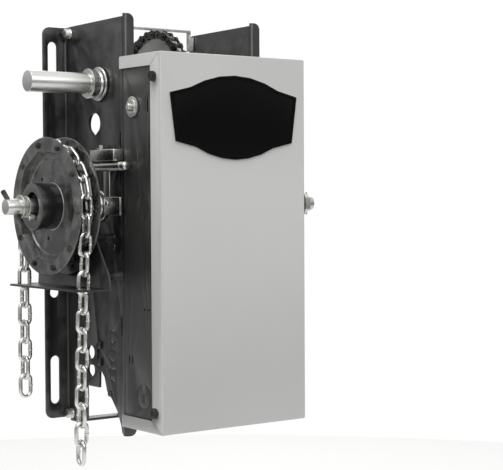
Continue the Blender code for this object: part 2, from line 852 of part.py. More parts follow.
def motor():
    centre = (0, SHAFT_Y, MOTOR_Z)
    radius = MOTOR_RADIUS
    can = turned([(MOTOR_LEFT, radius), (MOTOR_RIGHT, radius)], centre, 40)
    add_object("motor_body", can, "motor_paint")
    bell = [(GAP, radius - 1), (8, radius - 3), (14, radius - 16), (14, 20), (20, 18)]
    left = [(MOTOR_LEFT - along, r) for along, r in reversed(bell)]
    add_object("motor_end_bell_left", turned(left, centre, 28), "cast_grey")
    shaft_radius = 8.0
    bore = shaft_radius + 0.8
    right = [(MOTOR_RIGHT + along, r) for along, r in ((GAP, bore), *bell, (20, bore))]
    add_object("motor_end_bell_right", turned(right, centre, 28, bored=True), "cast_grey")
    tilt = math.radians(42)
    reach = radius + 17 + GAP
    seat = (0, SHAFT_Y + reach * math.sin(tilt), MOTOR_Z + reach * math.cos(tilt))
    add_object("motor_capacitor", rod("X", -24, 44, 17, seat, 20, 2), "black_plastic")
    rotor = rod("X", MOTOR_RIGHT + 2, BELT_X + 12, shaft_radius, centre, 20, 0.8)
    add_object("motor_shaft", rotor, "shaft_steel", "motor_rotor")
    outer = SMALL_PULLEY_RADIUS
    pulley = [
        (BELT_X - 12, shaft_radius + GAP),
        (BELT_X - 12, 15),
        (BELT_X - 8.5, 15),
        (BELT_X - 8.5, outer),
        (BELT_X - 6.5, outer),
        (BELT_X - 4, outer - 11),
        (BELT_X + 4, outer - 11),
        (BELT_X + 6.5, outer),
        (BELT_X + 8.5, outer),
        (BELT_X + 8.5, shaft_radius + GAP),
    ]
    add_object("motor_pulley", turned(pulley, centre, 24, bored=True), "cast_grey", "motor_rotor")


def belts_and_chains():
    run = (SHAFT_Y, JACK_Z, BIG_PULLEY_RADIUS - 5)
    low = (SHAFT_Y, MOTOR_Z, SMALL_PULLEY_RADIUS - 5)
    belt = loop_band(run, low, 4.2, BELT_X - 3.8, BELT_X + 3.8)
    add_object("drive_belt", belt, "rubber")
    chain = loop_band(
        (SHAFT_Y, OUTPUT_Z, pitch_radius(DRIVEN_TEETH)),
        (SHAFT_Y, JACK_Z, pitch_radius(DRIVER_TEETH)),
        CHAIN_HALF_HEIGHT,
        SPROCKET_X - CHAIN_HALF_WIDTH,
        SPROCKET_X + CHAIN_HALF_WIDTH,
        24,
    )
    add_object("roller_chain", chain, "dark_steel")
    radius = LIMIT_SPROCKET_RADIUS + 2.0 + GAP + LIMIT_CHAIN_HALF_HEIGHT
    light = loop_band(
        (SHAFT_Y, OUTPUT_Z, radius),
        (LIMIT_Y, LIMIT_Z, radius),
        LIMIT_CHAIN_HALF_HEIGHT,
        LIMIT_CHAIN_X - LIMIT_CHAIN_HALF_WIDTH,
        LIMIT_CHAIN_X + LIMIT_CHAIN_HALF_WIDTH,
        14,
    )
    add_object("limit_chain", light, "dark_steel")


# ---- control box and what it holds


def sprocket_opening(front, top):
    """A cutter that clears the output sprocket and its chain."""
    half = CHAIN_HALF_WIDTH + 6
    return block((SPROCKET_X - half, front, OUTPUT_Z - 72), (SPROCKET_X + half, BOX_BACK + 9, top))


def control_box():
    shell = block((-BOX_HALF_WIDTH, BOX_FRONT, BOX_LOW), (BOX_HALF_WIDTH, BOX_BACK, BOX_HIGH))
    box = add_object("control_box", shell, "black_sheet")
    inner = block(
        (-BOX_HALF_WIDTH + BOX_SHEET, BOX_FRONT - 5, BOX_LOW + BOX_SHEET),
        (BOX_HALF_WIDTH - BOX_SHEET, BOX_BACK - BOX_SHEET, BOX_HIGH - BOX_SHEET),
    )
    chain_slot = block(
        (LIMIT_CHAIN_X - 7, BOX_BACK - 10, LIMIT_Z - 26),
        (LIMIT_CHAIN_X + 7, BOX_BACK + 5, LIMIT_Z + 44),
    )
    span = BOX_HALF_WIDTH + 5
    shaft_hole = rod("X", -span, span, 6.5, (0, LIMIT_Y, LIMIT_Z), 16, 0.5)
    open_slots = [
        block((-span, BOX_FRONT - 3, z - 3.4), (span, SCREW_Y + 3.4, z + 3.4)) for z in SCREW_HEIGHTS
    ]
    cut(box, inner, chain_slot, sprocket_opening(-159, BOX_HIGH + 5), shaft_hole, *open_slots)


def limit_system():
    body = "limit_shaft"
    centre = (0, LIMIT_Y, LIMIT_Z)
    add_object("limit_shaft", rod("X", -111, 108, 4.5, centre, 16, 0.8), "zinc", body)
    hub = LIMIT_SPROCKET_RADIUS - 6
    sprocket(
        "limit_sprocket",
        LIMIT_CHAIN_X,
        LIMIT_Z,
        LIMIT_SPROCKET_RADIUS + 2.0,
        4.5 + GAP,
        hub,
        -4.0,
        10.0,
        body,
        "dark_steel",
        y=LIMIT_Y,
        width=1.2,
    )
    face = -BOX_HALF_WIDTH
    profile = [(-4.5, 4.6), (-4.5, 6.2), (GAP, 6.2), (GAP, 12.6), (2.4, 12.6), (3.4, 11.4), (3.4, 4.6)]
    placed = [(face - along, radius) for along, radius in profile]
    bearing = turned(placed, (0, LIMIT_Y, LIMIT_Z), 20, bored=True)
    add_object("limit_bearing", bearing, "zinc")
    for word in ("left", "right"):
        name = f"limit_nut_{word}"
        x = BODY_PIVOTS[name][0]
        nut = bored_disc(-6, 6, 4.5 + GAP, 17, (x, LIMIT_Y, LIMIT_Z), 24)
        add_object(name, nut, "nylon", name)
    back = BOX_BACK - BOX_SHEET - GAP
    notch_low = SPROCKET_X - CHAIN_HALF_WIDTH - 6
    notch_high = SPROCKET_X + CHAIN_HALF_WIDTH + 6
    top = LIMIT_Z - 18
    outline = [
        (-66, -178),
        (60, -178),
        (60, back),
        (notch_high, back),
        (notch_high, -160),
        (notch_low, -160),
        (notch_low, back),
        (-66, back),
    ]
    add_object("limit_nut_guide", slab("Z", top - 1.5, top, outline), "zinc")
    for word, x, inward in (("left", -58, 1), ("right", 52, -1)):
        ceiling = top - 1.5 - GAP
        body_block = block((x - 8, -176, ceiling - 18), (x + 8, -152, ceiling), 1.0)
        switch = add_object(f"limit_switch_{word}", body_block, "black_plastic")
        near, far = sorted((x + inward * 7, x + inward * 12))
        join(switch, block((near, -167, ceiling - 6), (far, -161, ceiling - 3)))


def electrics():
    back = BOX_BACK - BOX_SHEET - GAP
    board = add_object(
        "logic_board", block((-70, back - 14, 180), (60, back - 12.4, 320)), "board_green"
    )
    places = ((-64, 186), (54, 186), (-64, 314), (54, 314))
    join(board, *[rod("Y", back - 13.4, back, 3.0, (x, 0, z), 8, 0.2) for x, z in places])
    join(board, block((-66, back - 26, 184), (30, back - 13, 198), 1.0))
    core = block((-80, back - 46, 32), (-22, back, 88), 1.5)
    transformer = add_object("transformer", core, "dark_steel")
    join(transformer, block((-70, back - 58, 42), (-32, back - 2, 78), 3.0))


# ---- cover


def cover():
    half = COVER_WIDTH / 2
    shell = block((-half, COVER_FRONT, COVER_BOTTOM), (half, COVER_BACK, COVER_TOP))
    made = add_object("cover", shell, "silver_sheet", "cover")
    inner = block(
        (-half + COVER_SHEET, COVER_FRONT + COVER_SHEET, COVER_BOTTOM + COVER_SHEET),
        (half - COVER_SHEET, COVER_BACK + 5, COVER_TOP - COVER_SHEET),
    )
    window = block((-half - 5, WINDOW_FRONT, WINDOW_LOW), (half + 5, COVER_BACK + 6, WINDOW_HIGH))
    holes = [rod("X", -half - 4, half + 4, 3.4, (0, SCREW_Y, z), 12, 0.5) for z in SCREW_HEIGHTS]
    behind_box = block(
        (-half + COVER_SHEET, BOX_BACK - GAP, COVER_BOTTOM - 5),
        (half - COVER_SHEET, COVER_BACK + 7, COVER_TOP + 5),
    )
    cut(made, inner, window, behind_box, sprocket_opening(-155.5, COVER_TOP + 6), *holes)
    badge()
    profile = [(-6, 2.6), (-5.4, 3.1), (GAP, 3.1), (GAP, 5.2), (1, 6), (5, 6), (5.8, 5.2)]
    for word, z in zip(("lower", "upper"), SCREW_HEIGHTS):
        for side_word, side in (("left", -1), ("right", 1)):
            placed = [(side * (half + along), radius) for along, radius in profile]
            screw = turned(placed, (0, SCREW_Y, z), 12)
            add_object(f"cover_screw_{word}_{side_word}", screw, "dark_steel", "cover")


def badge():
    """A plain dark panel with arched top and bottom edges and stepped shoulders."""
    top_arc = [(63.8, 400.3), (44.0, 408.6), (22.0, 414.2), (0.0, 416.0)]
    low_arc = [(56.5, 331.6), (38.0, 323.6), (19.0, 318.8), (0.0, 317.2)]
    right_side = [*top_arc[::-1], (92.6, 393.5), (85.0, 338.0), *low_arc]
    left_side = [(-x, z) for x, z in right_side[-2:0:-1]]
    panel = slab("Y", COVER_FRONT - GAP - 0.8, COVER_FRONT - GAP, right_side + left_side)
    add_object("badge_panel", panel, "black_plastic", "cover")


def main():
    clear_scene()
    make_pivots()
    side_plates()
    cross_members()
    frame_bolts()
    bearings()
    output_line()
    jackshaft_line()
    hoist_wheel()
    hand_chain()
    hoist_bracket()
    engage_lever()
    motor()
    belts_and_chains()
    control_box()
    limit_system()
    electrics()
    cover()


main()
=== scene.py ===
import bpy
import json
import math
from mathutils import Matrix, Vector

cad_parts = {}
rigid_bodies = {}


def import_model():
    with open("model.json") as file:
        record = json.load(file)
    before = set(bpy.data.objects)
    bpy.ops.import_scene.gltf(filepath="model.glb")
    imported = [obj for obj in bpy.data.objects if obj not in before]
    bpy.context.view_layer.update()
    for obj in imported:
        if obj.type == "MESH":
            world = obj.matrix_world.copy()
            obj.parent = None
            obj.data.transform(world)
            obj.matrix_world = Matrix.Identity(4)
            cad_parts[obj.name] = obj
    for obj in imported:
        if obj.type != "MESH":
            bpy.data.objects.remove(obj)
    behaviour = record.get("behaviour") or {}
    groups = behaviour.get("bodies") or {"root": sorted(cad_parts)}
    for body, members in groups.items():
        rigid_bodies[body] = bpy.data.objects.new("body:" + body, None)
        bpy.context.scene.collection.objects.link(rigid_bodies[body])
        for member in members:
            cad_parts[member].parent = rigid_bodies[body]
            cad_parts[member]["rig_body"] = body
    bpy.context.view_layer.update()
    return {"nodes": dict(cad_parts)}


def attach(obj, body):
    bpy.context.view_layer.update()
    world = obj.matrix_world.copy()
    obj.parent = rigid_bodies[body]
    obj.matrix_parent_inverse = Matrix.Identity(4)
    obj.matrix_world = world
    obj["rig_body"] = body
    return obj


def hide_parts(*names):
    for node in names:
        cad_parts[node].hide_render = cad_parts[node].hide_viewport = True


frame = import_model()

mm = 0.001
fullTurn = 2 * math.pi


# small modelling helpers; every length below is in millimetres

def deselectAll():
    if bpy.context.mode != "OBJECT":
        bpy.ops.object.mode_set(mode="OBJECT")
    bpy.ops.object.select_all(action="DESELECT")


def pick(piece):
    deselectAll()
    piece.select_set(True)
    bpy.context.view_layer.objects.active = piece


def tidyNormals(piece, merge=0.00001):
    pick(piece)
    bpy.ops.object.mode_set(mode="EDIT")
    bpy.ops.mesh.select_all(action="SELECT")
    bpy.ops.mesh.remove_doubles(threshold=merge)
    bpy.ops.mesh.normals_make_consistent(inside=False)
    bpy.ops.object.mode_set(mode="OBJECT")


def pullLine(name, points, fill):
    # one vertex pulled from point to point, then filled if it is a closed outline
    deselectAll()
    bpy.ops.mesh.primitive_plane_add(size=0.002, location=(0, 0, 0))
    piece = bpy.context.object
    piece.name = name
    bpy.ops.object.mode_set(mode="EDIT")
    bpy.ops.mesh.select_mode(type="VERT")
    bpy.ops.mesh.select_all(action="SELECT")
    bpy.ops.mesh.merge(type="CENTER")
    bpy.ops.transform.translate(value=[v * mm for v in points[0]])
    for near, far in zip(points, points[1:]):
        step = [(b - a) * mm for a, b in zip(near, far)]
        bpy.ops.mesh.extrude_region_move(TRANSFORM_OT_translate={"value": step})
    if fill:
        bpy.ops.mesh.select_all(action="SELECT")
        bpy.ops.mesh.edge_face_add()
    return piece


def turnPiece(name, profile, centre, axis="X", steps=64, ring=True):
    # profile is (along, radius); a ring's profile closes on itself
    line = [(along, 0, radius) for along, radius in profile]
    if ring:
        line.append(line[0])
    piece = pullLine(name, line, False)
    bpy.ops.mesh.select_all(action="SELECT")
    bpy.ops.mesh.spin(steps=steps, angle=fullTurn, center=(0, 0, 0), axis=(1, 0, 0))
    tidyNormals(piece)
    turn = {"X": (0, 0, 0), "Y": (0, 0, math.pi / 2), "Z": (0, -math.pi / 2, 0)}[axis]
    return placePiece(piece, centre, turn)


def placePiece(piece, at=(0, 0, 0), turn=(0, 0, 0)):
    pick(piece)
    piece.rotation_euler = turn
    piece.location = [v * mm for v in at]
    bpy.ops.object.transform_apply(location=True, rotation=True, scale=True)
    return piece


def platePiece(name, outline, axis, low, high):
    # a flat outline in the other two axes, given its thickness along this axis
    put = {"X": lambda u, v: (low, u, v), "Y": lambda u, v: (u, low, v), "Z": lambda u, v: (u, v, low)}
    piece = pullLine(name, [put[axis](u, v) for u, v in outline], True)
    bpy.ops.mesh.select_all(action="SELECT")
    step = [(high - low) * mm if letter == axis else 0 for letter in "XYZ"]
    bpy.ops.mesh.extrude_region_move(TRANSFORM_OT_translate={"value": step})
    tidyNormals(piece)
    return piece


def blockPiece(name, low, high, bevel=0, segments=2):
    deselectAll()
    middle = [(a + b) / 2 * mm for a, b in zip(low, high)]
    size = [(b - a) * mm for a, b in zip(low, high)]
    bpy.ops.mesh.primitive_cube_add(size=1, location=middle, scale=size)
    piece = bpy.context.object
    piece.name = name
    bpy.ops.object.transform_apply(location=True, rotation=True, scale=True)
    if bevel:
        bpy.ops.object.mode_set(mode="EDIT")
        bpy.ops.mesh.select_all(action="SELECT")
        bpy.ops.mesh.bevel(offset=bevel * mm, segments=segments, affect="EDGES")
        bpy.ops.object.mode_set(mode="OBJECT")
    return piece


def barPiece(name, low, high, radius, centre, axis="X", steps=32, chamfer=0.6):
    profile = [(low, 0), (low, radius - chamfer), (low + chamfer * 0.3, radius - chamfer * 0.3)]
    profile += [(low + chamfer, radius), (high - chamfer, radius)]
    profile += [(high - chamfer * 0.3, radius - chamfer * 0.3), (high, radius - chamfer), (high, 0)]
    return turnPiece(name, profile, centre, axis, steps, ring=False)


def hexPiece(name, low, high, across, centre, axis="X", turn=0.0, bore=0.0):
    # a nut or a bolt head: a hexagon with its corners turned off
    corner = across / 2 / math.cos(math.pi / 6)
    outline = [(corner * math.cos(fullTurn * i / 6 + turn), corner * math.sin(fullTurn * i / 6 + turn))
               for i in range(6)]
    head = platePiece(name, outline, "X", low, high)
    rim = across / 2 * 1.02
    drop = (corner - rim) * 0.55
    keep = turnPiece(name + "Round", [(low - 1, 0), (low - 1, rim - 0.6), (low, rim),
                                      (low + drop, corner + 0.1), (high - drop, corner + 0.1), (high, rim),
                                      (high + 1, rim - 0.6), (high + 1, 0)], (0, 0, 0), "X", 32, ring=False)
    useBoolean(head, keep, "INTERSECT")
    if bore:
        useBoolean(head, barPiece(name + "Bore", low - 2, high + 2, bore, (0, 0, 0), "X", 24, 0.1),
                   "DIFFERENCE")
    turnTo = {"X": (0, 0, 0), "Y": (0, 0, math.pi / 2), "Z": (0, -math.pi / 2, 0)}[axis]
    return placePiece(head, centre, turnTo)


def useBoolean(piece, other, operation):
    pick(piece)
    modifier = piece.modifiers.new("cut", "BOOLEAN")
    modifier.operation = operation
    modifier.solver = "EXACT"
    modifier.object = other
    bpy.ops.object.modifier_apply(modifier=modifier.name)
    bpy.data.objects.remove(other, do_unlink=True)
    return piece


def cutAway(piece, *cutters):
    for cutter in cutters:
        useBoolean(piece, cutter, "DIFFERENCE")
    return piece


def softenEdges(piece, width, segments=2, angle=30):
    pick(piece)
    modifier = piece.modifiers.new("soften", "BEVEL")
    modifier.width = width * mm
    modifier.segments = segments
    modifier.limit_method = "ANGLE"
    modifier.angle_limit = math.radians(angle)
    modifier.use_clamp_overlap = True
    bpy.ops.object.modifier_apply(modifier=modifier.name)
    return piece


def joinPieces(name, pieces):
    deselectAll()
    for piece in pieces:
        piece.select_set(True)
    bpy.context.view_layer.objects.active = pieces[0]
    if len(pieces) > 1:
        bpy.ops.object.join()
    joined = bpy.context.view_layer.objects.active
    joined.name = name
    return joined


def copyPiece(piece, name):
    made = piece.copy()
    made.data = piece.data.copy()
    made.name = name
    bpy.context.scene.collection.objects.link(made)
    return made


def arcPoints(u, v, radius, first, last, steps):
    return [(u + radius * math.cos(math.radians(first + (last - first) * i / steps)),
             v + radius * math.sin(math.radians(first + (last - first) * i / steps)))
            for i in range(steps + 1)]


def slotPoints(u, low, high, radius):
    return arcPoints(u, high - radius, radius, 0, 180, 10) + arcPoints(u, low + radius, radius, 180, 360, 10)


def foldedSection(path, thickness, inside):
    # the cross-section of a bent sheet that follows the middle line of path
    half = thickness / 2
    left, right = [], []
    for i, point in enumerate(path):
        here = Vector(point)
        if i in (0, len(path) - 1):
            other = Vector(path[1] if i == 0 else path[-2])
            heading = (other - here).normalized() * (1 if i == 0 else -1)
            side = Vector((-heading.y, heading.x)) * half
            left.append(here + side)
            right.append(here - side)
            continue
        before = (here - Vector(path[i - 1])).normalized()
        after = (Vector(path[i + 1]) - here).normalized()
        bend = before.x * after.y - before.y * after.x
        sign = 1 if bend > 0 else -1
        radius = inside + half
        centre = here - before * radius + Vector((-before.y, before.x)) * radius * sign
        start = math.atan2(*(here - before * radius - centre).yx)
        for j in range(7):
            angle = start + sign * math.acos(max(-1, min(1, before.dot(after)))) * j / 6
            out = Vector((math.cos(angle), math.sin(angle)))
            inner, outer = centre + out * (radius - half), centre + out * (radius + half)
            left.append(inner if sign > 0 else outer)
            right.append(outer if sign > 0 else inner)
    return [tuple(p) for p in left + right[::-1]]


def finishPiece(piece, body, finish, *nodes, smooth=35):
    pick(piece)
    bpy.ops.object.transform_apply(location=True, rotation=True, scale=True)
    bpy.ops.object.shade_smooth_by_angle(angle=math.radians(smooth))
    piece.data.materials.clear()
    piece.data.materials.append(finish)
    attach(piece, body)
    if nodes:
        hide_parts(*nodes)
    return piece


def dressNodes(finish, *names):
    # a CAD piece whose shape is right only takes its finish
    for name in names:
        frame["nodes"][name].data.materials.clear()
        frame["nodes"][name].data.materials.append(finish)


def copyNode(name):
    # a free copy of a CAD piece, welded and with its flat faces whole
    made = copyPiece(frame["nodes"][name], name + "Fine")
    made.parent = None
    for key in list(made.keys()):
        del made[key]
    made.data.materials.clear()
    pick(made)
    bpy.ops.object.mode_set(mode="EDIT")
    bpy.ops.mesh.select_all(action="SELECT")
    bpy.ops.mesh.remove_doubles(threshold=0.000005)
    bpy.ops.mesh.dissolve_limited(angle_limit=math.radians(1))
    bpy.ops.object.mode_set(mode="OBJECT")
    return made


print("helpers ready")


# finishes

def makeFinish(name, look):
    finish = bpy.data.materials.new(name)
    finish.use_nodes = True
    tree = finish.node_tree
    shader = tree.nodes["Principled BSDF"]
    shader.inputs["Metallic"].default_value = look.get("metal", 0.0)
    shader.inputs["Coat Weight"].default_value = look.get("coat", 0.0)
    shader.inputs["Coat Roughness"].default_value = look.get("coatRough", 0.1)
    shader.inputs["Specular IOR Level"].default_value = look.get("specular", 0.5)
    place = tree.nodes.new("ShaderNodeTexCoord")

    def stretched(scale):
        mapping = tree.nodes.new("ShaderNodeMapping")
        mapping.inputs["Scale"].default_value = scale
        tree.links.new(place.outputs["Object"], mapping.inputs["Vector"])
        return mapping.outputs["Vector"]

    def noise(vector, scale, detail, rough=0.5):
        made = tree.nodes.new("ShaderNodeTexNoise")
        made.inputs["Scale"].default_value = scale
        made.inputs["Detail"].default_value = detail
        made.inputs["Roughness"].default_value = rough
        tree.links.new(vector, made.inputs["Vector"])
        return made.outputs["Fac"]

    def blend(a, b, share):
        made = tree.nodes.new("ShaderNodeMix")
        made.data_type = "FLOAT"
        made.inputs["Factor"].default_value = share
        tree.links.new(a, made.inputs[2])
        tree.links.new(b, made.inputs[3])
        return made.outputs[0]

    def rangeOf(value, low, high, fromLow=0.3, fromHigh=0.7):
        made = tree.nodes.new("ShaderNodeMapRange")
        made.inputs["From Min"].default_value = fromLow
        made.inputs["From Max"].default_value = fromHigh
        made.inputs["To Min"].default_value = low
        made.inputs["To Max"].default_value = high
        tree.links.new(value, made.inputs["Value"])
        return made.outputs["Result"]

    broad = noise(stretched((1, 1, 1)), look.get("patch", 9), 4)
    fine = noise(stretched(look.get("stretch", (1, 1, 1))), look.get("grain", 600), look.get("detail", 3),
                 0.6)
    mixed = blend(broad, fine, look.get("fineShare", 0.4))
    if "cells" in look:
        cells = tree.nodes.new("ShaderNodeTexVoronoi")
        cells.inputs["Scale"].default_value = look["cells"]
        tree.links.new(place.outputs["Object"], cells.inputs["Vector"])
        shade = tree.nodes.new("ShaderNodeRGBToBW")
        tree.links.new(cells.outputs["Color"], shade.inputs["Color"])
        mixed = blend(mixed, shade.outputs["Val"], look.get("cellShare", 0.35))
    colour = tree.nodes.new("ShaderNodeValToRGB")
    colour.color_ramp.elements[0].position = 0.3
    colour.color_ramp.elements[1].position = 0.7
    colour.color_ramp.elements[0].color = (*look["dark"], 1)
    colour.color_ramp.elements[1].color = (*look["light"], 1)
    tree.links.new(mixed, colour.inputs["Fac"])
    paint = colour.outputs["Color"]
    if "edgeHighlight" in look:  # painted highlight: a lighter colour laid in patches on convex edges, where pointiness is high
        edges = tree.nodes.new("ShaderNodeNewGeometry")
        where = rangeOf(edges.outputs["Pointiness"], 0, 1, look.get("wearFrom", 0.52),
                        look.get("wearTo", 0.60))
        patchy = tree.nodes.new("ShaderNodeMath")
        patchy.operation = "MULTIPLY"
        tree.links.new(where, patchy.inputs[0])
        tree.links.new(rangeOf(noise(stretched((1, 1, 1)), 55, 5), 0, look.get("edgeHighlightShare", 0.7), 0.4, 0.6),
                       patchy.inputs[1])
        over = tree.nodes.new("ShaderNodeMix")
        over.data_type = "RGBA"
        tree.links.new(patchy.outputs[0], over.inputs["Factor"])
        tree.links.new(paint, over.inputs["A"])
        over.inputs["B"].default_value = (*look["edgeHighlight"], 1)
        paint = over.outputs["Result"]
    tree.links.new(paint, shader.inputs["Base Color"])
    low, high = look["rough"]
    tree.links.new(rangeOf(mixed, low, high), shader.inputs["Roughness"])
    bump = tree.nodes.new("ShaderNodeBump")
    bump.inputs["Strength"].default_value = look.get("bump", 0.15)
    bump.inputs["Distance"].default_value = look.get("bumpDepth", 0.0002)
    tree.links.new(fine, bump.inputs["Height"])
    tree.links.new(bump.outputs["Normal"], shader.inputs["Normal"])
    return finish


# the edgeHighlight colour of a finish is a painted highlight, put in patches on its convex edges
finishLooks = {
    "blackEnamel": dict(dark=(0.009, 0.009, 0.009), light=(0.015, 0.015, 0.0145), rough=(0.26, 0.36),
                        coat=0.2, coatRough=0.16, patch=6, grain=750, fineShare=0.3, bump=0.14,
                        bumpDepth=0.00012, edgeHighlight=(0.09, 0.09, 0.088), edgeHighlightShare=0.35),
    "boxEnamel": dict(dark=(0.020, 0.020, 0.020), light=(0.030, 0.030, 0.029), rough=(0.34, 0.46), coat=0.2,
                      coatRough=0.25, patch=7, grain=700, fineShare=0.3, bump=0.14, bumpDepth=0.00012),
    "wheelEnamel": dict(dark=(0.012, 0.012, 0.012), light=(0.020, 0.020, 0.019), rough=(0.14, 0.22),
                        specular=0.8, coat=0.4, coatRough=0.08, patch=12, grain=900, fineShare=0.45,
                        bump=0.12, bumpDepth=0.0001, edgeHighlight=(0.16, 0.16, 0.155), edgeHighlightShare=0.45),
    "hubEnamel": dict(dark=(0.006, 0.006, 0.006), light=(0.012, 0.012, 0.012), rough=(0.18, 0.28), coat=0.3,
                      coatRough=0.1, patch=14, grain=800, bump=0.1, bumpDepth=0.0001, stretch=(1, 0.2, 0.2)),
    "hubFace": dict(dark=(0.10, 0.10, 0.098), light=(0.17, 0.17, 0.165), rough=(0.3, 0.45), metal=0.6,
                    patch=20, grain=900, bump=0.15, bumpDepth=0.0001),
    "silverPaint": dict(dark=(0.435, 0.435, 0.427), light=(0.470, 0.470, 0.460), rough=(0.34, 0.42),
                        metal=0.15, coat=0.15, coatRough=0.3, patch=5, grain=1500, fineShare=0.35,
                        detail=2, bump=0.10, bumpDepth=0.00006, stretch=(1, 1, 0.25)),
    "badgeGloss": dict(dark=(0.002, 0.002, 0.002), light=(0.003, 0.003, 0.003), rough=(0.34, 0.42),
                       specular=0.06, patch=10, grain=500, bump=0.05, bumpDepth=0.00005),
    "zinc": dict(dark=(0.44, 0.44, 0.42), light=(0.70, 0.70, 0.67), rough=(0.22, 0.40), metal=1.0, patch=26,
                 grain=420, fineShare=0.35, bump=0.12, bumpDepth=0.00008),
    "galvanised": dict(dark=(0.48, 0.48, 0.46), light=(0.70, 0.70, 0.68), rough=(0.26, 0.42), metal=1.0,
                       patch=20, grain=500, cells=160, cellShare=0.4, bump=0.1, bumpDepth=0.00006),
    "chainZinc": dict(dark=(0.50, 0.50, 0.48), light=(0.86, 0.86, 0.83), rough=(0.16, 0.32), metal=1.0,
                      patch=70, grain=900, fineShare=0.45, bump=0.16, bumpDepth=0.0001),
    "groundSteel": dict(dark=(0.46, 0.46, 0.45), light=(0.72, 0.72, 0.70), rough=(0.20, 0.34), metal=1.0,
                        patch=9, grain=900, fineShare=0.18, bump=0.04, bumpDepth=0.00004),
    "sprocketSteel": dict(dark=(0.42, 0.42, 0.40), light=(0.58, 0.58, 0.56), rough=(0.36, 0.52), metal=0.85,
                          patch=18, grain=700, fineShare=0.5, bump=0.15, bumpDepth=0.00008),
    "oiledChain": dict(dark=(0.020, 0.019, 0.018), light=(0.075, 0.073, 0.070), rough=(0.20, 0.38), metal=0.8,
                       patch=60, grain=600, fineShare=0.5, bump=0.15, bumpDepth=0.0001),
    "blackOxide": dict(dark=(0.014, 0.014, 0.014), light=(0.040, 0.040, 0.038), rough=(0.24, 0.42), metal=0.7,
                       patch=40, grain=700, fineShare=0.5, bump=0.18, bumpDepth=0.0001,
                       edgeHighlight=(0.20, 0.20, 0.195), edgeHighlightShare=0.6),
    "castIron": dict(dark=(0.060, 0.060, 0.058), light=(0.125, 0.123, 0.118), rough=(0.42, 0.62), metal=0.55,
                     patch=24, grain=380, fineShare=0.5, bump=0.35, bumpDepth=0.00025,
                     edgeHighlight=(0.33, 0.33, 0.32), edgeHighlightShare=0.5),
    "motorEnamel": dict(dark=(0.016, 0.016, 0.018), light=(0.030, 0.030, 0.033), rough=(0.30, 0.45), coat=0.2,
                        coatRough=0.2, patch=12, grain=480, fineShare=0.4, bump=0.2, bumpDepth=0.00015),
    "blackMoulded": dict(dark=(0.010, 0.010, 0.010), light=(0.020, 0.020, 0.020), rough=(0.42, 0.58),
                         patch=20, grain=900, bump=0.25, bumpDepth=0.0001),
    "beltRubber": dict(dark=(0.008, 0.008, 0.008), light=(0.022, 0.021, 0.020), rough=(0.62, 0.82), patch=40,
                       grain=1100, fineShare=0.6, bump=0.35, bumpDepth=0.00015),
    "nylon": dict(dark=(0.62, 0.60, 0.53), light=(0.74, 0.73, 0.66), rough=(0.38, 0.5), patch=30, grain=600,
                  bump=0.1, bumpDepth=0.0001),
    "laminations": dict(dark=(0.10, 0.10, 0.10), light=(0.26, 0.26, 0.25), rough=(0.4, 0.6), metal=0.7,
                        patch=30, grain=520, stretch=(0.02, 2.2, 0.02), fineShare=0.8, bump=0.5,
                        bumpDepth=0.0002),
    "solderMask": dict(dark=(0.010, 0.075, 0.030), light=(0.018, 0.115, 0.048), rough=(0.25, 0.38), coat=0.3,
                       patch=60, grain=300, cells=260, cellShare=0.25, bump=0.1, bumpDepth=0.00008),
    "lining": dict(dark=(0.08, 0.055, 0.035), light=(0.19, 0.13, 0.085), rough=(0.75, 0.9), patch=80,
                   grain=900, fineShare=0.6, bump=0.5, bumpDepth=0.0003),
}
finishes = {name: makeFinish(name, look) for name, look in finishLooks.items()}
print("finishes ready", len(finishes))


# studio and camera

studio = dict(cameraAt=(-1.0207, -1.6090, 0.2800), lens=104.2, sensor=36, yaw=-36.98, pitch=1.73, roll=-0.30,
              floorAt=-0.45, floorRadius=2.45, skyTop=0.95, skyMiddle=0.40, skyLow=0.14)


def setCamera(s):
    data = bpy.data.cameras.new("camera")
    data.lens = s["lens"]
    data.sensor_width = s["sensor"]
    data.clip_end = 60
    camera = bpy.data.objects.new("camera", data)
    bpy.context.scene.collection.objects.link(camera)
    turn = Matrix.Rotation(math.radians(s["yaw"]), 4, "Z")
    tilt = Matrix.Rotation(math.radians(90 - s["pitch"]), 4, "X")
    camera.matrix_world = (Matrix.Translation(s["cameraAt"]) @ turn @ tilt
                           @ Matrix.Rotation(math.radians(s["roll"]), 4, "Z"))
    bpy.context.scene.camera = camera


def setSky(s):
    world = bpy.data.worlds.new("studio")
    bpy.context.scene.world = world
    world.use_nodes = True
    tree = world.node_tree
    back = tree.nodes["Background"]
    place = tree.nodes.new("ShaderNodeTexCoord")
    split = tree.nodes.new("ShaderNodeSeparateXYZ")
    tree.links.new(place.outputs["Generated"], split.inputs["Vector"])
    ramp = tree.nodes.new("ShaderNodeValToRGB")
    lift = tree.nodes.new("ShaderNodeMapRange")
    lift.inputs["From Min"].default_value = -1
    tree.links.new(split.outputs["Z"], lift.inputs["Value"])
    tree.links.new(lift.outputs["Result"], ramp.inputs["Fac"])
    stops = ramp.color_ramp.elements
    stops[0].position, stops[1].position = 0.30, 0.80
    stops[0].color = (s["skyLow"],) * 3 + (1,)
    stops[1].color = (s["skyTop"],) * 3 + (1,)
    middle = stops.new(0.5)
    middle.color = (s["skyMiddle"],) * 3 + (1,)
    tree.links.new(ramp.outputs["Color"], back.inputs["Color"])
    seen = tree.nodes.new("ShaderNodeBackground")
    seen.inputs["Color"].default_value = (1, 1, 1, 1)
    seen.inputs["Strength"].default_value = 1.02
    which = tree.nodes.new("ShaderNodeLightPath")
    mix = tree.nodes.new("ShaderNodeMixShader")
    tree.links.new(which.outputs["Is Camera Ray"], mix.inputs["Fac"])
    tree.links.new(back.outputs["Background"], mix.inputs[1])
    tree.links.new(seen.outputs["Background"], mix.inputs[2])
    tree.links.new(mix.outputs["Shader"], tree.nodes["World Output"].inputs["Surface"])


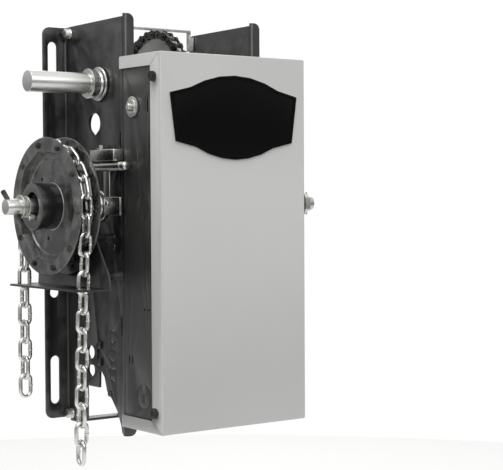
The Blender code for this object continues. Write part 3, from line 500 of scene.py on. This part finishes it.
def addSoftbox(name, at, aim, size, power):
    data = bpy.data.lights.new(name, "AREA")
    data.shape = "RECTANGLE"
    data.size, data.size_y = size
    data.energy = power
    light = bpy.data.objects.new(name, data)
    bpy.context.scene.collection.objects.link(light)
    heading = (Vector(aim) - Vector(at)).to_track_quat("-Z", "Y").to_matrix().to_4x4()
    light.matrix_world = Matrix.Translation(at) @ heading


def addFloor(s):
    deselectAll()
    bpy.ops.mesh.primitive_circle_add(vertices=96, radius=s["floorRadius"], fill_type="NGON",
                                      location=(0, 0, s["floorAt"]))
    floor = bpy.context.object
    floor.name = "studioFloor"
    pale = bpy.data.materials.new("paleFloor")
    pale.use_nodes = True
    pale.node_tree.nodes["Principled BSDF"].inputs["Base Color"].default_value = (0.82, 0.82, 0.81, 1)
    pale.node_tree.nodes["Principled BSDF"].inputs["Roughness"].default_value = 0.9
    floor.data.materials.append(pale)


bpy.context.scene.view_settings.view_transform = "Standard"
setCamera(studio)
setSky(studio)
addFloor(studio)
addSoftbox("frontSoftbox", (-0.7, -3.0, 1.9), (0, -0.1, 0.25), (2.2, 1.6), 33)
addSoftbox("topSoftbox", (-0.9, -0.3, 2.4), (-0.05, -0.1, 0.3), (1.8, 1.2), 22)
addSoftbox("backSoftbox", (1.6, 1.9, 1.6), (0, -0.1, 0.2), (1.6, 1.6), 14)
print("studio ready")


dressNodes(finishes["blackEnamel"], "lower_tie_bar", "motor_shelf", "hoist_bracket")
dressNodes(finishes["galvanised"], "upper_tie_strap", "limit_nut_guide")
dressNodes(finishes["zinc"], "frame_bolt_upper", "frame_bolt_lower", "output_bearing_left",
           "output_bearing_right", "jackshaft_bearing_left", "jackshaft_bearing_right", "clutch_nut",
           "clutch_cotter_pin")
dressNodes(finishes["groundSteel"], "motor_shaft")
dressNodes(finishes["oiledChain"], "limit_chain")
dressNodes(finishes["blackOxide"], "limit_drive_sprocket", "limit_sprocket", "clutch_spring", "spring_seat",
           "hoist_standoff_upper", "hoist_standoff_lower")
dressNodes(finishes["castIron"], "clutch_pulley", "clutch_plate", "motor_pulley", "motor_end_bell_left",
           "motor_end_bell_right")
dressNodes(finishes["motorEnamel"], "motor_body")
dressNodes(finishes["blackMoulded"], "motor_capacitor", "limit_switch_left", "limit_switch_right")
dressNodes(finishes["beltRubber"], "drive_belt")
dressNodes(finishes["nylon"], "limit_nut_left", "limit_nut_right")
dressNodes(finishes["solderMask"], "logic_board")
dressNodes(finishes["laminations"], "transformer")
dressNodes(finishes["lining"], "clutch_lining")

# bent sheet: side plates, control box and cover

def cutOutline(piece, outline, axis, low, high):
    return cutAway(piece, platePiece("cutter", outline, axis, low, high))


def circlePoints(u, v, radius, steps=28):
    return arcPoints(u, v, radius, 0, 360 - 360 / steps, steps - 1)


plateSizes = dict(sheet=3.0, leftWeb=-100.2, rightWeb=87.5, wall=-1.5, front=-137.5, low=-12.0, top=491.5,
                  outputZ=410.6, jackZ=263.0, motorZ=127.0, shaftY=-83.9)


def sidePlate(name, path, middle, side, p):
    section = foldedSection(path, p["sheet"], 2.2)
    plate = platePiece(name, section, "Z", p["low"], p["top"])
    inner, outer = sorted((path[1][0] - 6 * side, path[1][0] + 6 * side))
    # the web's own outline, cut away between the two flanges
    below = [(-47, -4), (-47, 40.5), (-77, 40.5), (-78, 60.8), (-83, 60.8), (-89.4, 54.6), (-95.4, 38),
             (-106.8, 29), (-119.2, 15.4), (-127, 0), (-129, -8), (-133, -12), (-133, -30), (5, -30),
             (5, -4)]
    above = [(-136, 488), (5, 486), (5, 510), (-136, 510)]
    cutOutline(plate, below, "X", inner, outer)
    cutOutline(plate, above, "X", inner, outer)
    # rounded ends of the wall flange and of the front flange
    edge = path[0][0]
    corner = [(edge + side * 12, 500), (edge + side * 12, 476.5), (edge, 476.5)]
    corner += [(edge - side * (9 - 9 * math.cos(math.radians(a))), 476.5 + 9 * math.sin(math.radians(a)))
               for a in range(15, 91, 15)] + [(edge - side * 44, 485.5), (edge - side * 44, 500)]
    cutOutline(plate, corner, "Y", -9, 6)
    foot = [(edge + side * 12, -30), (edge + side * 12, 5), (edge, 5)]
    foot += [(edge - side * (9 - 9 * math.cos(math.radians(a))), 5 - 9 * math.sin(math.radians(a)))
             for a in range(15, 91, 15)] + [(edge - side * 44, -4), (edge - side * 44, -30)]
    cutOutline(plate, foot, "Y", -9, 6)
    lip = path[-1][0]
    for height, way in ((483.5, 1), (-4, -1)):
        end = [(lip + 12, height), (lip + 12, height + way * 14), (lip - 8.2, height + way * 14)]
        end += [(lip - 8 + 8 * math.cos(math.radians(a)), height + way * 8 * math.sin(math.radians(a)))
                for a in range(90, -1, -15)]
        cutOutline(plate, end, "Y", -142, -134)
    for outline in (slotPoints(middle, 407.5, 467.5, 6.6), slotPoints(middle, 14, 74.5, 6.6),
                    circlePoints(middle, 154, 6.5), circlePoints(middle, 327, 6.5)):
        cutOutline(plate, outline, "Y", -6, 4)
    for height, radius in ((p["outputZ"], 17), (p["jackZ"], 14)):
        cutOutline(plate, circlePoints(p["shaftY"], height, radius, 40), "X", inner, outer)
    return plate


def leftPlate(p):
    path = [(-134, p["wall"]), (p["leftWeb"], p["wall"]), (p["leftWeb"], p["front"]), (-87.2, p["front"])]
    plate = sidePlate("leftPlateFine", path, -121, -1, p)
    teardrop = arcPoints(-71, 363, 13.2, -35, 215, 22) + [(-72.2, 348.5), (-70.7, 346.2), (-69.4, 348.5)]
    holes = [teardrop, [(-12.0, 453), (-10.5, 453), (-4.1, 376), (-5.6, 376)], circlePoints(-58, 82.5, 8.4),
             circlePoints(-58.4, 60.8, 8.4), slotPoints(-74.5, 69, 96, 1.6)]
    for low, high in ((107, 131), (330, 352), (286, 316), (262, 278), (232, 246), (208, 226)):
        holes.append(slotPoints(-130.5, low, high, 1.1))
    for outline in holes:
        cutOutline(plate, outline, "X", -110, -90)
    # round knockouts left hanging by two webs
    for height in (105, 82, 59):
        for first in (25, 205):
            ring = (arcPoints(-109, height, 8.2, first, first + 130, 14)
                    + arcPoints(-109, height, 7.3, first + 130, first, 14))
            cutOutline(plate, ring, "X", -103, -98)
    softenEdges(plate, 0.35, 2, 40)
    lugs = [blockPiece("lug", (-104.2, -84, z - 4.5), (-101.4, -77, z + 4.5), 0.8) for z in (93, 72)]
    rivets = [turnPiece("rivet", [(-103.6, 0), (-103.4, 2.2), (-102.6, 3.4), (-101.5, 3.8), (-101.5, 0)],
                        (0, y, z), "X", 20, ring=False)
               for y, z in ((-101.4, 35.4), (-113, 214), (-113, 226))]
    finishPiece(joinPieces("leftPlateFine", [plate] + lugs + rivets), "chassis", finishes["blackEnamel"],
                "left_side_plate")


def rightPlate(p):
    path = [(121.3, p["wall"]), (p["rightWeb"], p["wall"]), (p["rightWeb"], p["front"]), (100.5, p["front"])]
    plate = sidePlate("rightPlateFine", path, 108.3, 1, p)
    cutOutline(plate, circlePoints(p["shaftY"], p["motorZ"], 18, 40), "X", 80, 95)
    softenEdges(plate, 0.35, 2, 40)
    finishPiece(plate, "chassis", finishes["blackEnamel"], "right_side_plate")


leftPlate(plateSizes)
rightPlate(plateSizes)
print("side plates ready")


def selectEdges(piece, wanted):
    pick(piece)
    bpy.ops.object.mode_set(mode="EDIT")
    bpy.ops.mesh.select_mode(type="EDGE")
    bpy.ops.mesh.select_all(action="DESELECT")
    bpy.ops.object.mode_set(mode="OBJECT")
    for edge in piece.data.edges:
        ends = [piece.data.vertices[i].co / mm for i in edge.vertices]
        edge.select = wanted(*ends)
    bpy.ops.object.mode_set(mode="EDIT")


coverSizes = dict(half=105.2, front=-222.1, top=440.0, sheet=1.2, screwY=-209, screwZ=(25, 412))


def makeCover(p):
    cover = copyNode("cover")
    half, front, top = p["half"], p["front"], p["top"]

    def outerBend(a, b):
        def on(v):
            return (abs(abs(v.x) - half) < 0.02, abs(v.y - front) < 0.02,
                    abs(v.z) < 0.02 or abs(v.z - top) < 0.02)
        both = [x and y for x, y in zip(on(a), on(b))]
        return sum(both) >= 2 and (a - b).length > 6
    selectEdges(cover, outerBend)
    bpy.ops.mesh.bevel(offset=1.5 * mm, segments=4, affect="EDGES")
    bpy.ops.object.mode_set(mode="OBJECT")
    for side in (-1, 1):
        for corner, inward in ((0, 1), (top, -1)):
            # the mitre where the folded lips of the side meet the front
            seam = [(front + 0.8, corner + inward * 0.2), (front + 1.2, corner - inward * 0.2),
                    (-200.8, corner + inward * 14.3), (-201.2, corner + inward * 14.7)]
            low, high = sorted((side * (half - 0.35), side * (half + 1)))
            cutOutline(cover, seam, "X", low, high)
            notch = blockPiece("notch", (side * half - 1.5, front - 1, corner - 1.5),
                               (side * half + 1.5, front + 1.3, corner + 1.5))
            cutAway(cover, notch)
    softenEdges(cover, 0.22, 1, 50)
    finishPiece(cover, "cover", finishes["silverPaint"], "cover")


def makeBadge(p):
    badge = copyNode("badge_panel")
    topArc = [(61.0, 397.2), (43.0, 404.9), (21.5, 410.4), (0.0, 412.2)]
    lowArc = [(54.2, 335.0), (37.2, 327.6), (18.6, 322.7), (0.0, 321.2)]
    right = topArc[::-1] + [(87.9, 390.8), (81.3, 341.4)] + lowArc
    outline = right + [(-x, z) for x, z in right[-2:0:-1]]
    line = platePiece("badgeLine", outline, "Y", p["front"] - 1.6, p["front"] - 0.95)
    inside = platePiece("badgeInside", [(x * 0.985, 366.6 + (z - 366.6) * 0.982) for x, z in outline], "Y",
                        p["front"] - 2.2, p["front"] + 1)
    cutAway(line, inside)
    cutAway(badge, line)
    softenEdges(badge, 0.25, 2, 40)
    finishPiece(badge, "cover", finishes["badgeGloss"], "badge_panel")


def makeCoverScrews(p):
    for word, z in zip(("lower", "upper"), p["screwZ"]):
        for sideWord, side in (("left", -1), ("right", 1)):
            knurl = []
            for i in range(36):
                middle = fullTurn * i / 36
                for shift, radius in ((-0.055, 5.6), (-0.02, 5.95), (0.02, 5.95), (0.055, 5.6)):
                    knurl.append((radius * math.cos(middle + shift), radius * math.sin(middle + shift)))
            head = platePiece("screwHead", knurl, "X", 1.3, 5.2)
            dome = turnPiece("screwDome", [(0, 0), (0, 5.2), (1.3, 5.4), (5.0, 5.4), (5.6, 4.9),
                                           (5.75, 4.2), (5.75, 2.7), (3.6, 2.4), (3.4, 0)], (0, 0, 0), "X",
                                           36, ring=False)
            shank = turnPiece("screwShank", [(-6, 0), (-5.6, 2.6), (0.4, 2.9), (0.4, 0)], (0, 0, 0), "X",
                              24, ring=False)
            screw = joinPieces("coverScrew", [head, dome, shank])
            placePiece(screw, (side * p["half"], p["screwY"], z), (0, 0, 0 if side > 0 else math.pi))
            screw.name = "coverScrew" + word.title() + sideWord.title()
            finishPiece(screw, "cover", finishes["blackOxide"], "cover_screw_" + word + "_" + sideWord)


makeCover(coverSizes)
makeBadge(coverSizes)
makeCoverScrews(coverSizes)
print("cover ready")


# control box and the limit shaft's end bearing

boxSizes = dict(half=102.6, limitY=-160.5, limitZ=379.0)


def makeBox(p):
    box = copyNode("control_box")
    for side in (-1, 1):
        low, high = sorted((side * (p["half"] - 0.5), side * (p["half"] + 2)))
        far, near = sorted((side * (p["half"] - 4), side * (p["half"] + 2)))
        for y, z in ((-178, 260.9), (-179.5, 40.2)):
            for first in (105, 285):
                ring = (arcPoints(y, z, 14.9, first, first + 150, 22)
                        + arcPoints(y, z, 14.0, first + 150, first, 22))
                cutOutline(box, ring, "X", low, high)
            cutOutline(box, slotPoints(y, z - 3.5, z + 3.5, 0.7), "X", low, high)
        holes = [slotPoints(-191.7, 372, 386, 1.3), slotPoints(-148.6, 76.6, 86.7, 1.0),
                 slotPoints(-155.1, 76.6, 86.7, 1.0), circlePoints(-182.3, 142.5, 1.5, 14),
                 circlePoints(-190.9, 142.5, 1.5, 14)]
        for outline in holes:
            cutOutline(box, outline, "X", far, near)
    softenEdges(box, 0.4, 2, 40)
    finishPiece(box, "chassis", finishes["boxEnamel"], "control_box")


def makeLimitBearing(p):
    face = -p["half"]
    washer = turnPiece("limitBearingFine", [(face + 4.5, 4.7), (face + 4.5, 6.2), (face - 0.3, 6.2),
                                            (face - 0.3, 12.4), (face - 1.0, 12.6), (face - 2.2, 12.4),
                                            (face - 2.6, 11.6), (face - 2.6, 9.4), (face - 3.3, 8.6),
                                            (face - 3.4, 5.0), (face - 3.0, 4.7)],
                       (0, p["limitY"], p["limitZ"]), "X", 48)
    cutters = []
    for i in range(8):
        turn = fullTurn * i / 8
        y, z = p["limitY"] + 10.6 * math.cos(turn), p["limitZ"] + 10.6 * math.sin(turn)
        cutters.append(barPiece("tab", face - 5, face - 1.4, 0.9, (0, y, z), "X", 12, 0.1))
    cutAway(washer, *cutters)
    finishPiece(washer, "chassis", finishes["zinc"], "limit_bearing")
    profile = [(-111, 0), (-111, 3.2), (-109.8, 4.4), (-63, 4.4)]
    for i in range(34):  # the thread that carries the two nuts
        x = -62 + i * 3.4
        profile += [(x, 4.4), (x + 0.8, 3.8), (x + 1.1, 3.8), (x + 1.9, 4.4)]
    profile += [(106.8, 4.4), (108, 3.2), (108, 0)]
    shaft = turnPiece("limitShaftFine", profile, (0, p["limitY"], p["limitZ"]), "X", 32, ring=False)
    finishPiece(shaft, "limit_shaft", finishes["zinc"], "limit_shaft")


makeBox(boxSizes)
makeLimitBearing(boxSizes)
print("control box ready")


# hand-chain wheel

wheelSizes = dict(x=-164.1, y=-83.9, z=263.0, half=13.6, phase=5.0, boltRing=74.2, pinX=-222,
                  pinTilt=-122, slitTurn=-150)


def roundedDecagon(radius, fillet, phase, y, z):
    reach = (radius * math.cos(math.pi / 10) - fillet) / math.cos(math.pi / 10)
    points = []
    for i in range(10):
        corner = phase + 36 * i
        v, w = reach * math.cos(math.radians(corner)), reach * math.sin(math.radians(corner))
        points += arcPoints(y + v, z + w, fillet, corner - 18, corner + 18, 5)
    return points


def taperPiece(name, outline, low, high, share):
    piece = pullLine(name, [(low, u, v) for u, v in outline], True)
    bpy.ops.mesh.select_all(action="SELECT")
    bpy.ops.mesh.extrude_region_move(TRANSFORM_OT_translate={"value": ((high - low) * mm, 0, 0)})
    bpy.ops.transform.resize(value=(share, share, share))
    tidyNormals(piece)
    return piece


def wheelHalf(side, p):
    rim = p["half"]
    at = (p["x"], p["y"], p["z"])

    def along(v):
        return p["x"] + side * v
    blank = turnPiece("wheelBlank", [(side * rim, 28.4), (side * rim, 81.2), (side * (rim - 0.5), 82.2),
                                     (side * (rim - 1.5), 82.2), (side * (rim - 2), 81.4), (side * 3.2, 81.4),
                                     (side * 3.2, 28.4)], at, "X", 96)
    recess = taperPiece("recess", roundedDecagon(68.6, 9, p["phase"], p["y"], p["z"]), along(rim + 1),
                        along(rim - 7.2), 0.955)
    step = turnPiece("step", [(side * (rim - 9.0), 0), (side * (rim - 9.0), 57.0), (side * (rim - 7.0), 58.4),
                              (side * (rim + 1), 58.4), (side * (rim + 1), 0)], at, "X", 72, ring=False)
    cutAway(blank, recess, step)
    back = turnPiece("back", [(0, 60), (0, 90), (side * (rim - 2), 90), (side * (rim - 2), 60)], at, "X", 72)
    cutAway(back, taperPiece("backCore", roundedDecagon(70.0, 10, p["phase"], p["y"], p["z"]), along(rim - 1),
                             along(-1), 0.93))
    cutAway(blank, back)
    cutAway(blank, *[barPiece("smallHole", along(rim - 14), along(rim + 2), 2.4, (0, y, z), "X", 16, 0.1)
                     for y, z in ((-59.7, 295), (-74.3, 225))])
    softenEdges(blank, 0.7, 3, 24)
    return blank


def wheelBolts(p, side):
    bolts = []
    for i in range(10):
        turn = math.radians(p["phase"] + 36 * i)
        y, z = p["y"] + p["boltRing"] * math.cos(turn), p["z"] + p["boltRing"] * math.sin(turn)
        face = p["x"] + side * p["half"]
        low, high = sorted((-0.1 * side, 2.3 * side))
        nut = hexPiece("nut", low, high, 6.8, (face, y, z), "X", turn + i)
        end = barPiece("boltEnd", *sorted((0.5 * side, 3.2 * side)), 2.0, (face, y, z), "X", 16, 0.5)
        stub = barPiece("boltStub", *sorted((-3.7 * side, -1.2 * side)), 2.6, (face, y, z), "X", 16, 0.5)
        bolts += [nut, end, stub]
    return bolts


def makeWheel(p):
    outer = wheelHalf(-1, p)
    finishPiece(outer, "hoist_wheel", finishes["wheelEnamel"], "wheel_half_outer", smooth=32)
    inner = wheelHalf(1, p)
    finishPiece(inner, "hoist_wheel", finishes["wheelEnamel"], "wheel_half_inner", smooth=32)


def makeHub(p):
    at = (p["x"], p["y"], p["z"])
    hub = turnPiece("wheelHubFine", [(-31.8, 17.2), (-31.8, 26.8), (-31.2, 27.6), (-30.4, 27.8),
                                     (-4.6, 27.8), (-4.2, 27.4), (-3.6, 27.4), (-3.0, 27.8), (-2.9, 58),
                                     (2.9, 58), (2.9, 27.8), (11.2, 27.8), (12, 27), (12, 10.3),
                                     (11.4, 9.9), (-22.4, 9.9), (-23, 10.4), (-23, 16.4), (-30.8, 16.6),
                                     (-31.4, 16.9)], at, "X", 72)
    screw = barPiece("setScrew", 20, 32, 2.6, (p["x"] - 12, p["y"], p["z"]), "Z", 20, 0.2)
    cutAway(hub, screw)
    finishPiece(hub, "hoist_wheel", finishes["hubEnamel"], "wheel_hub")
    face = turnPiece("hubFaceRing", [(-31.85, 17.6), (-31.95, 17.8), (-31.95, 26.2), (-31.85, 26.5),
                                     (-31.6, 26.5), (-31.6, 17.6)], at, "X", 72)
    finishPiece(face, "hoist_wheel", finishes["hubFace"])
    ring = turnPiece("hubSnapRing", [(-5.4, 27.85), (-5.3, 28.3), (-5.0, 28.5), (-4.6, 28.5), (-4.3, 28.3),
                                     (-4.2, 27.85)], at, "X", 72)
    finishPiece(ring, "hoist_wheel", finishes["zinc"])


def makeShaftEnd(p):
    at = (0, p["y"], p["z"])
    jackshaft = barPiece("jackshaftFine", -230.8, 227.4, 9.5, at, "X", 56, 1.2)
    cutAway(jackshaft, turnPiece("groove", [(-214.6, 9.1), (-214.6, 11), (-213.4, 11), (-213.4, 9.1)], at,
                                 "X", 40),
            blockPiece("keyway", (104, p["y"] - 2.4, p["z"] + 7.0), (140, p["y"] + 2.4, p["z"] + 12), 0.4))
    finishPiece(jackshaft, "jackshaft", finishes["groundSteel"], "jackshaft")
    washers = [turnPiece("washer", [(x, 9.7), (x, r - 0.4), (x + 0.4, r), (x + w - 0.4, r), (x + w, r - 0.4),
                                    (x + w, 9.7)], at, "X", 48)
               for x, w, r in ((-212.6, 1.8, 14.2), (-204.6, 1.6, 12.6))]
    spring = [turnPiece("spacer", [(-210.6, 9.8), (-210.6, 11.0), (-210.2, 11.3), (-205.2, 11.3),
                                   (-204.8, 11.0), (-204.8, 9.8)], at, "X", 48)]
    finishPiece(joinPieces("shaftWashers", washers + spring), "jackshaft", finishes["zinc"])
    nut = hexPiece("stopHead", -5.4, 0, 7.4, (-197.2, p["y"] - 6.6, p["z"] - 12.6), "X", 0.3)
    end = barPiece("stopRod", -7.4, 9.0, 2.0, (-197.2, p["y"] - 6.6, p["z"] - 12.6), "X", 16, 0.5)
    finishPiece(joinPieces("hubStop", [nut, end]), "hoist_wheel", finishes["zinc"])
    pin = turnPiece("rollPin", [(-22.4, 1.7), (-22.4, 2.4), (-21.6, 2.95), (21.6, 2.95), (22.4, 2.4),
                                (22.4, 1.7)],
                    (0, 0, 0), "X", 28)
    cutAway(pin, blockPiece("slit", (-24, -4, -0.45), (24, 0, 0.45)))
    placePiece(pin, (0, 0, 0), (math.radians(p["slitTurn"]), 0, 0))
    placePiece(pin, (p["pinX"], p["y"], p["z"]), (0, math.radians(p["pinTilt"]), 0))
    finishPiece(pin, "jackshaft", finishes["blackOxide"], "wheel_retaining_pin")


makeWheel(wheelSizes)
for word, side in (("Outer", -1), ("Inner", 1)):
    finishPiece(joinPieces("wheelBolts" + word, wheelBolts(wheelSizes, side)), "hoist_wheel",
                finishes["blackOxide"])
makeHub(wheelSizes)
makeShaftEnd(wheelSizes)
print("wheel ready")


# hand chain

handChain = dict(x=-164.1, radius=71.0, wire=2.42, halfLength=15.8, halfWidth=9.3, pitch=22.14)


def makeLink(c):
    deselectAll()
    bend = c["halfWidth"] - c["wire"]
    bpy.ops.mesh.primitive_torus_add(major_segments=28, minor_segments=12, major_radius=bend * mm,
                                     minor_radius=c["wire"] * mm, rotation=(math.pi / 2, 0, 0))
    link = bpy.context.object
    bpy.ops.object.transform_apply(location=True, rotation=True, scale=True)
    placePiece(link, (0, 0, 0), (0, math.pi / 28, 0))
    stretch = (c["halfLength"] - c["halfWidth"]) * mm
    for way in (1, -1):
        pick(link)
        bpy.ops.object.mode_set(mode="EDIT")
        bpy.ops.mesh.select_mode(type="VERT")
        bpy.ops.mesh.select_all(action="DESELECT")
        bpy.ops.object.mode_set(mode="OBJECT")
        for vertex in link.data.vertices:
            vertex.select = vertex.co.z * way > 0
        bpy.ops.object.mode_set(mode="EDIT")
        bpy.ops.transform.translate(value=(0, 0, way * stretch))
        bpy.ops.object.mode_set(mode="OBJECT")
    weld = barPiece("weldBead", -1.3, 1.3, c["wire"] + 0.32, (bend, 0, 0), "Z", 20, 0.5)
    return joinPieces("linkMaster", [link, weld])


def linkPlaces(c):
    y0, z0 = wheelSizes["y"], wheelSizes["z"]
    over = []
    for i in range(11):
        turn = math.pi * i / 10
        over.append((c["x"], y0 - c["radius"] * math.cos(turn), z0 + c["radius"] * math.sin(turn), -turn))
    front, back = [], []
    y, z = over[0][1:3]
    for lean in (2.4, 4.6, 4.8, 4.4, 3.8, 3.2, 2.8, 2.6, 2.4, 2.4, 2.4, 2.4, 2.4):
        y += c["pitch"] * math.sin(math.radians(lean))
        z -= c["pitch"] * math.cos(math.radians(lean))
        front.append((c["x"], y, z, math.radians(lean)))
    x, y, z = over[-1][:3]
    for i in range(10):
        lean = math.radians(max(0, 3.2 - i))
        x -= 1.0 * (i < 3)
        y += c["pitch"] * math.sin(lean)
        z -= c["pitch"] * math.cos(lean)
        back.append((x, y, z, lean))
    return front[::-1] + over + back


def makeHandChain(c):
    master = makeLink(c)
    links = []
    for index, (x, y, z, lean) in enumerate(linkPlaces(c)):
        link = copyPiece(master, "link")
        if index % 2 == 0:
            placePiece(link, (0, 0, 0), (0, 0, math.pi / 2))
        placePiece(link, (x, y, z), (lean, 0, 0))
        links.append(link)
    bpy.data.objects.remove(master, do_unlink=True)
    finishPiece(joinPieces("handChainFine", links), "chassis", finishes["chainZinc"], "hand_chain", smooth=50)


makeHandChain(handChain)
print("hand chain ready")


# roller chain and its sprockets

driveChain = dict(x=-20.0, y=-83.9, top=410.6, low=263.0, bigRadius=64.77, smallRadius=24.53, links=46,
                  roller=3.95)


def chainPoints(c):
    # the pin centres, evenly spaced round the loop, starting at the top
    lean = math.asin((c["bigRadius"] - c["smallRadius"]) / (c["top"] - c["low"]))
    straight = (c["top"] - c["low"]) * math.cos(lean)
    bigArc = c["bigRadius"] * (math.pi / 2 + lean)
    smallArc = c["smallRadius"] * (math.pi - 2 * lean)
    whole = 2 * bigArc + 2 * straight + smallArc
    points = []
    for i in range(c["links"]):
        gone = whole * i / c["links"]
        if gone < bigArc or gone > whole - bigArc:
            turn = math.pi / 2 - (gone if gone < bigArc else gone - whole) / c["bigRadius"]
            points.append((c["y"] + c["bigRadius"] * math.cos(turn),
                           c["top"] + c["bigRadius"] * math.sin(turn)))
        elif gone < bigArc + straight or gone > bigArc + straight + smallArc:
            side = 1 if gone < bigArc + straight else -1
            down = gone - bigArc if side > 0 else whole - bigArc - gone
            start = (c["y"] + side * c["bigRadius"] * math.cos(lean),
                     c["top"] - c["bigRadius"] * math.sin(lean))
            points.append((start[0] - side * down * math.sin(lean), start[1] - down * math.cos(lean)))
        else:
            turn = -lean - (gone - bigArc - straight) / c["smallRadius"]
            points.append((c["y"] + c["smallRadius"] * math.cos(turn),
                           c["low"] + c["smallRadius"] * math.sin(turn)))
    return points


def linkPlate(near, far, low, high):
    heading = math.degrees(math.atan2(far[1] - near[1], far[0] - near[0]))
    outline = arcPoints(near[0], near[1], 5.5, heading + 50, heading + 310, 9)
    outline += arcPoints(far[0], far[1], 5.5, heading - 130, heading + 130, 9)
    return platePiece("linkPlate", outline, "X", low, high)


def makeRollerChain(c):
    points = chainPoints(c)
    parts = []
    for i, point in enumerate(points):
        after = points[(i + 1) % len(points)]
        inside, outside = (3.3, 4.8) if i % 2 else (5.1, 6.6)
        for side in (-1, 1):
            low, high = sorted((c["x"] + side * inside, c["x"] + side * outside))
            parts.append(linkPlate(point, after, low, high))
        at = (c["x"], *point)
        parts.append(barPiece("roller", -3.2, 3.2, c["roller"], at, "X", 20, 0.3))
        parts.append(barPiece("chainPin", -7.8, 7.8, 2.0, at, "X", 14, 0.5))
    chain = joinPieces("rollerChainFine", parts)
    softenEdges(chain, 0.25, 1, 50)
    finishPiece(chain, "chassis", finishes["oiledChain"], "roller_chain")


def makeSprocket(name, teeth, radius, height, tip, hub, body, finish, node, c):
    outline = []
    for i in range(teeth):
        seat = math.pi / 2 + fullTurn * i / teeth
        for turn in (-58, -30, 0, 30, 58):
            angle = seat + math.pi + math.radians(turn)
            outline.append((c["y"] + radius * math.cos(seat) + 4.15 * math.cos(angle),
                            height + radius * math.sin(seat) + 4.15 * math.sin(angle)))
        for shift in (0.5 - 0.085, 0.5 + 0.085):
            angle = seat + fullTurn / teeth * shift
            outline.append((c["y"] + tip * math.cos(angle), height + tip * math.sin(angle)))
    disc = platePiece(name, outline, "X", c["x"] - 2.9, c["x"] + 2.9)
    bore, collar, low, high = hub
    boss = turnPiece(name + "Boss", [(low, bore), (low, collar - 1), (low + 1, collar), (high - 1, collar),
                                     (high, collar - 1), (high, bore)], (c["x"], c["y"], height), "X", 56)
    cutAway(disc, barPiece("bore", -9, 9, bore, (c["x"], c["y"], height), "X", 48, 0.1))
    softenEdges(disc, 0.5, 1, 40)
    finishPiece(joinPieces(name, [disc, boss]), body, finishes[finish], node)


makeRollerChain(driveChain)
makeSprocket("drivenSprocketFine", 32, 64.77, 410.6, 67.4, (13.0, 24, -4, 22), "output_shaft",
             "sprocketSteel", "driven_sprocket", driveChain)
makeSprocket("driverSprocketFine", 12, 24.53, 263.0, 27.4, (9.8, 14.5, -4, 18), "jackshaft", "blackOxide",
             "jackshaft_sprocket", driveChain)
print("roller chain ready")


# output shaft and the bearings of both shafts

outputSizes = dict(y=-83.9, z=410.6, left=-200.7, right=104, radius=12.7, grubX=-115.8)


def makeOutputShaft(p):
    at = (0, p["y"], p["z"])
    shaft = barPiece("outputShaftFine", p["left"], p["right"], p["radius"], at, "X", 72, 1.2)
    cutAway(shaft, blockPiece("keyway", (-34, -87.0, 420.0), (6, -80.8, 425), 0.3))
    finishPiece(shaft, "output_shaft", finishes["groundSteel"], "output_shaft")
    collar = turnPiece("outputCollar", [(-119.6, 12.75), (-119.6, 17.2), (-119.0, 18.0), (-112.6, 18.0),
                                        (-112.0, 17.2), (-112.0, 12.75)], at, "X", 56)
    cutAway(collar, barPiece("grub", 14, 20, 2.2, (p["grubX"], p["y"], p["z"]), "Z", 16, 0.2))
    finishPiece(collar, "output_shaft", finishes["zinc"])


makeOutputShaft(outputSizes)
for node in ("output_bearing_left", "output_bearing_right", "jackshaft_bearing_left",
             "jackshaft_bearing_right", "frame_bolt_upper", "frame_bolt_lower", "hoist_bracket",
             "upper_tie_strap", "lower_tie_bar", "clutch_nut", "clutch_plate", "motor_shelf"):
    fine = softenEdges(copyNode(node), 0.45, 2, 35)
    finishPiece(fine, frame["nodes"][node]["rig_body"], frame["nodes"][node].data.materials[0], node)
print("frame details ready")


# the lever that engages the hand chain

leverSizes = dict(x=-110, boltY=-98, holeY=-128, rodY=-123, rodZ=310.2, low=(-117, -138.8, 316.4),
                  high=(-102, -84, 330.8))


def makeLever(p):
    carrier = blockPiece("leverBracketFine", p["low"], p["high"], 1.4, 3)
    cutAway(carrier, barPiece("screwHole", -20, 20, 2.6, (p["x"], p["holeY"], 326), "Z", 24, 0.1))
    washer = turnPiece("leverWasher", [(330.9, 3.0), (330.9, 5.6), (331.3, 6.0), (331.9, 6.0), (332.3, 5.6),
                                       (332.3, 3.0)], (p["x"], p["boltY"], 0), "Z", 32)
    head = hexPiece("leverBolt", 332.3, 336, 8.0, (p["x"], p["boltY"], 0), "Z", 0.2)
    finishPiece(joinPieces("leverBracketFine", [carrier, washer, head]), "chassis", finishes["zinc"],
                "lever_bracket")
    rod = turnPiece("leverRodFine", [(-35, 0), (-35, 2.4), (-34.6, 3.6), (-33.8, 4.6), (-32.6, 5.2),
                                     (-31.4, 5.4), (-26.4, 5.4), (-26.1, 4.5), (-24.4, 4.5), (-24.1, 5.4),
                                     (35.2, 5.4), (36, 4.6), (36, 0)], (p["x"], p["rodY"], p["rodZ"]), "Y",
                                     40, ring=False)
    finishPiece(rod, "engage_lever", finishes["zinc"], "lever_rod")
    arm = blockPiece("leverArmFine", (-111.6, -120, 252.4), (-108.6, -107, 304.4), 0.9, 3)
    plate = blockPiece("leverPlate", (-111.9, -144, 252.1), (-108.4, -110, 273.8), 1.0, 3)
    rivet = turnPiece("leverRivet", [(-114.2, 0), (-114.0, 1.8), (-113.2, 3.0), (-111.7, 3.4), (-111.7, 0)],
                      (0, -115, 266), "X", 28, ring=False)
    finishPiece(joinPieces("leverArmFine", [arm, plate, rivet]), "engage_lever", finishes["zinc"],
                "lever_arm")


makeLever(leverSizes)
print("lever ready")
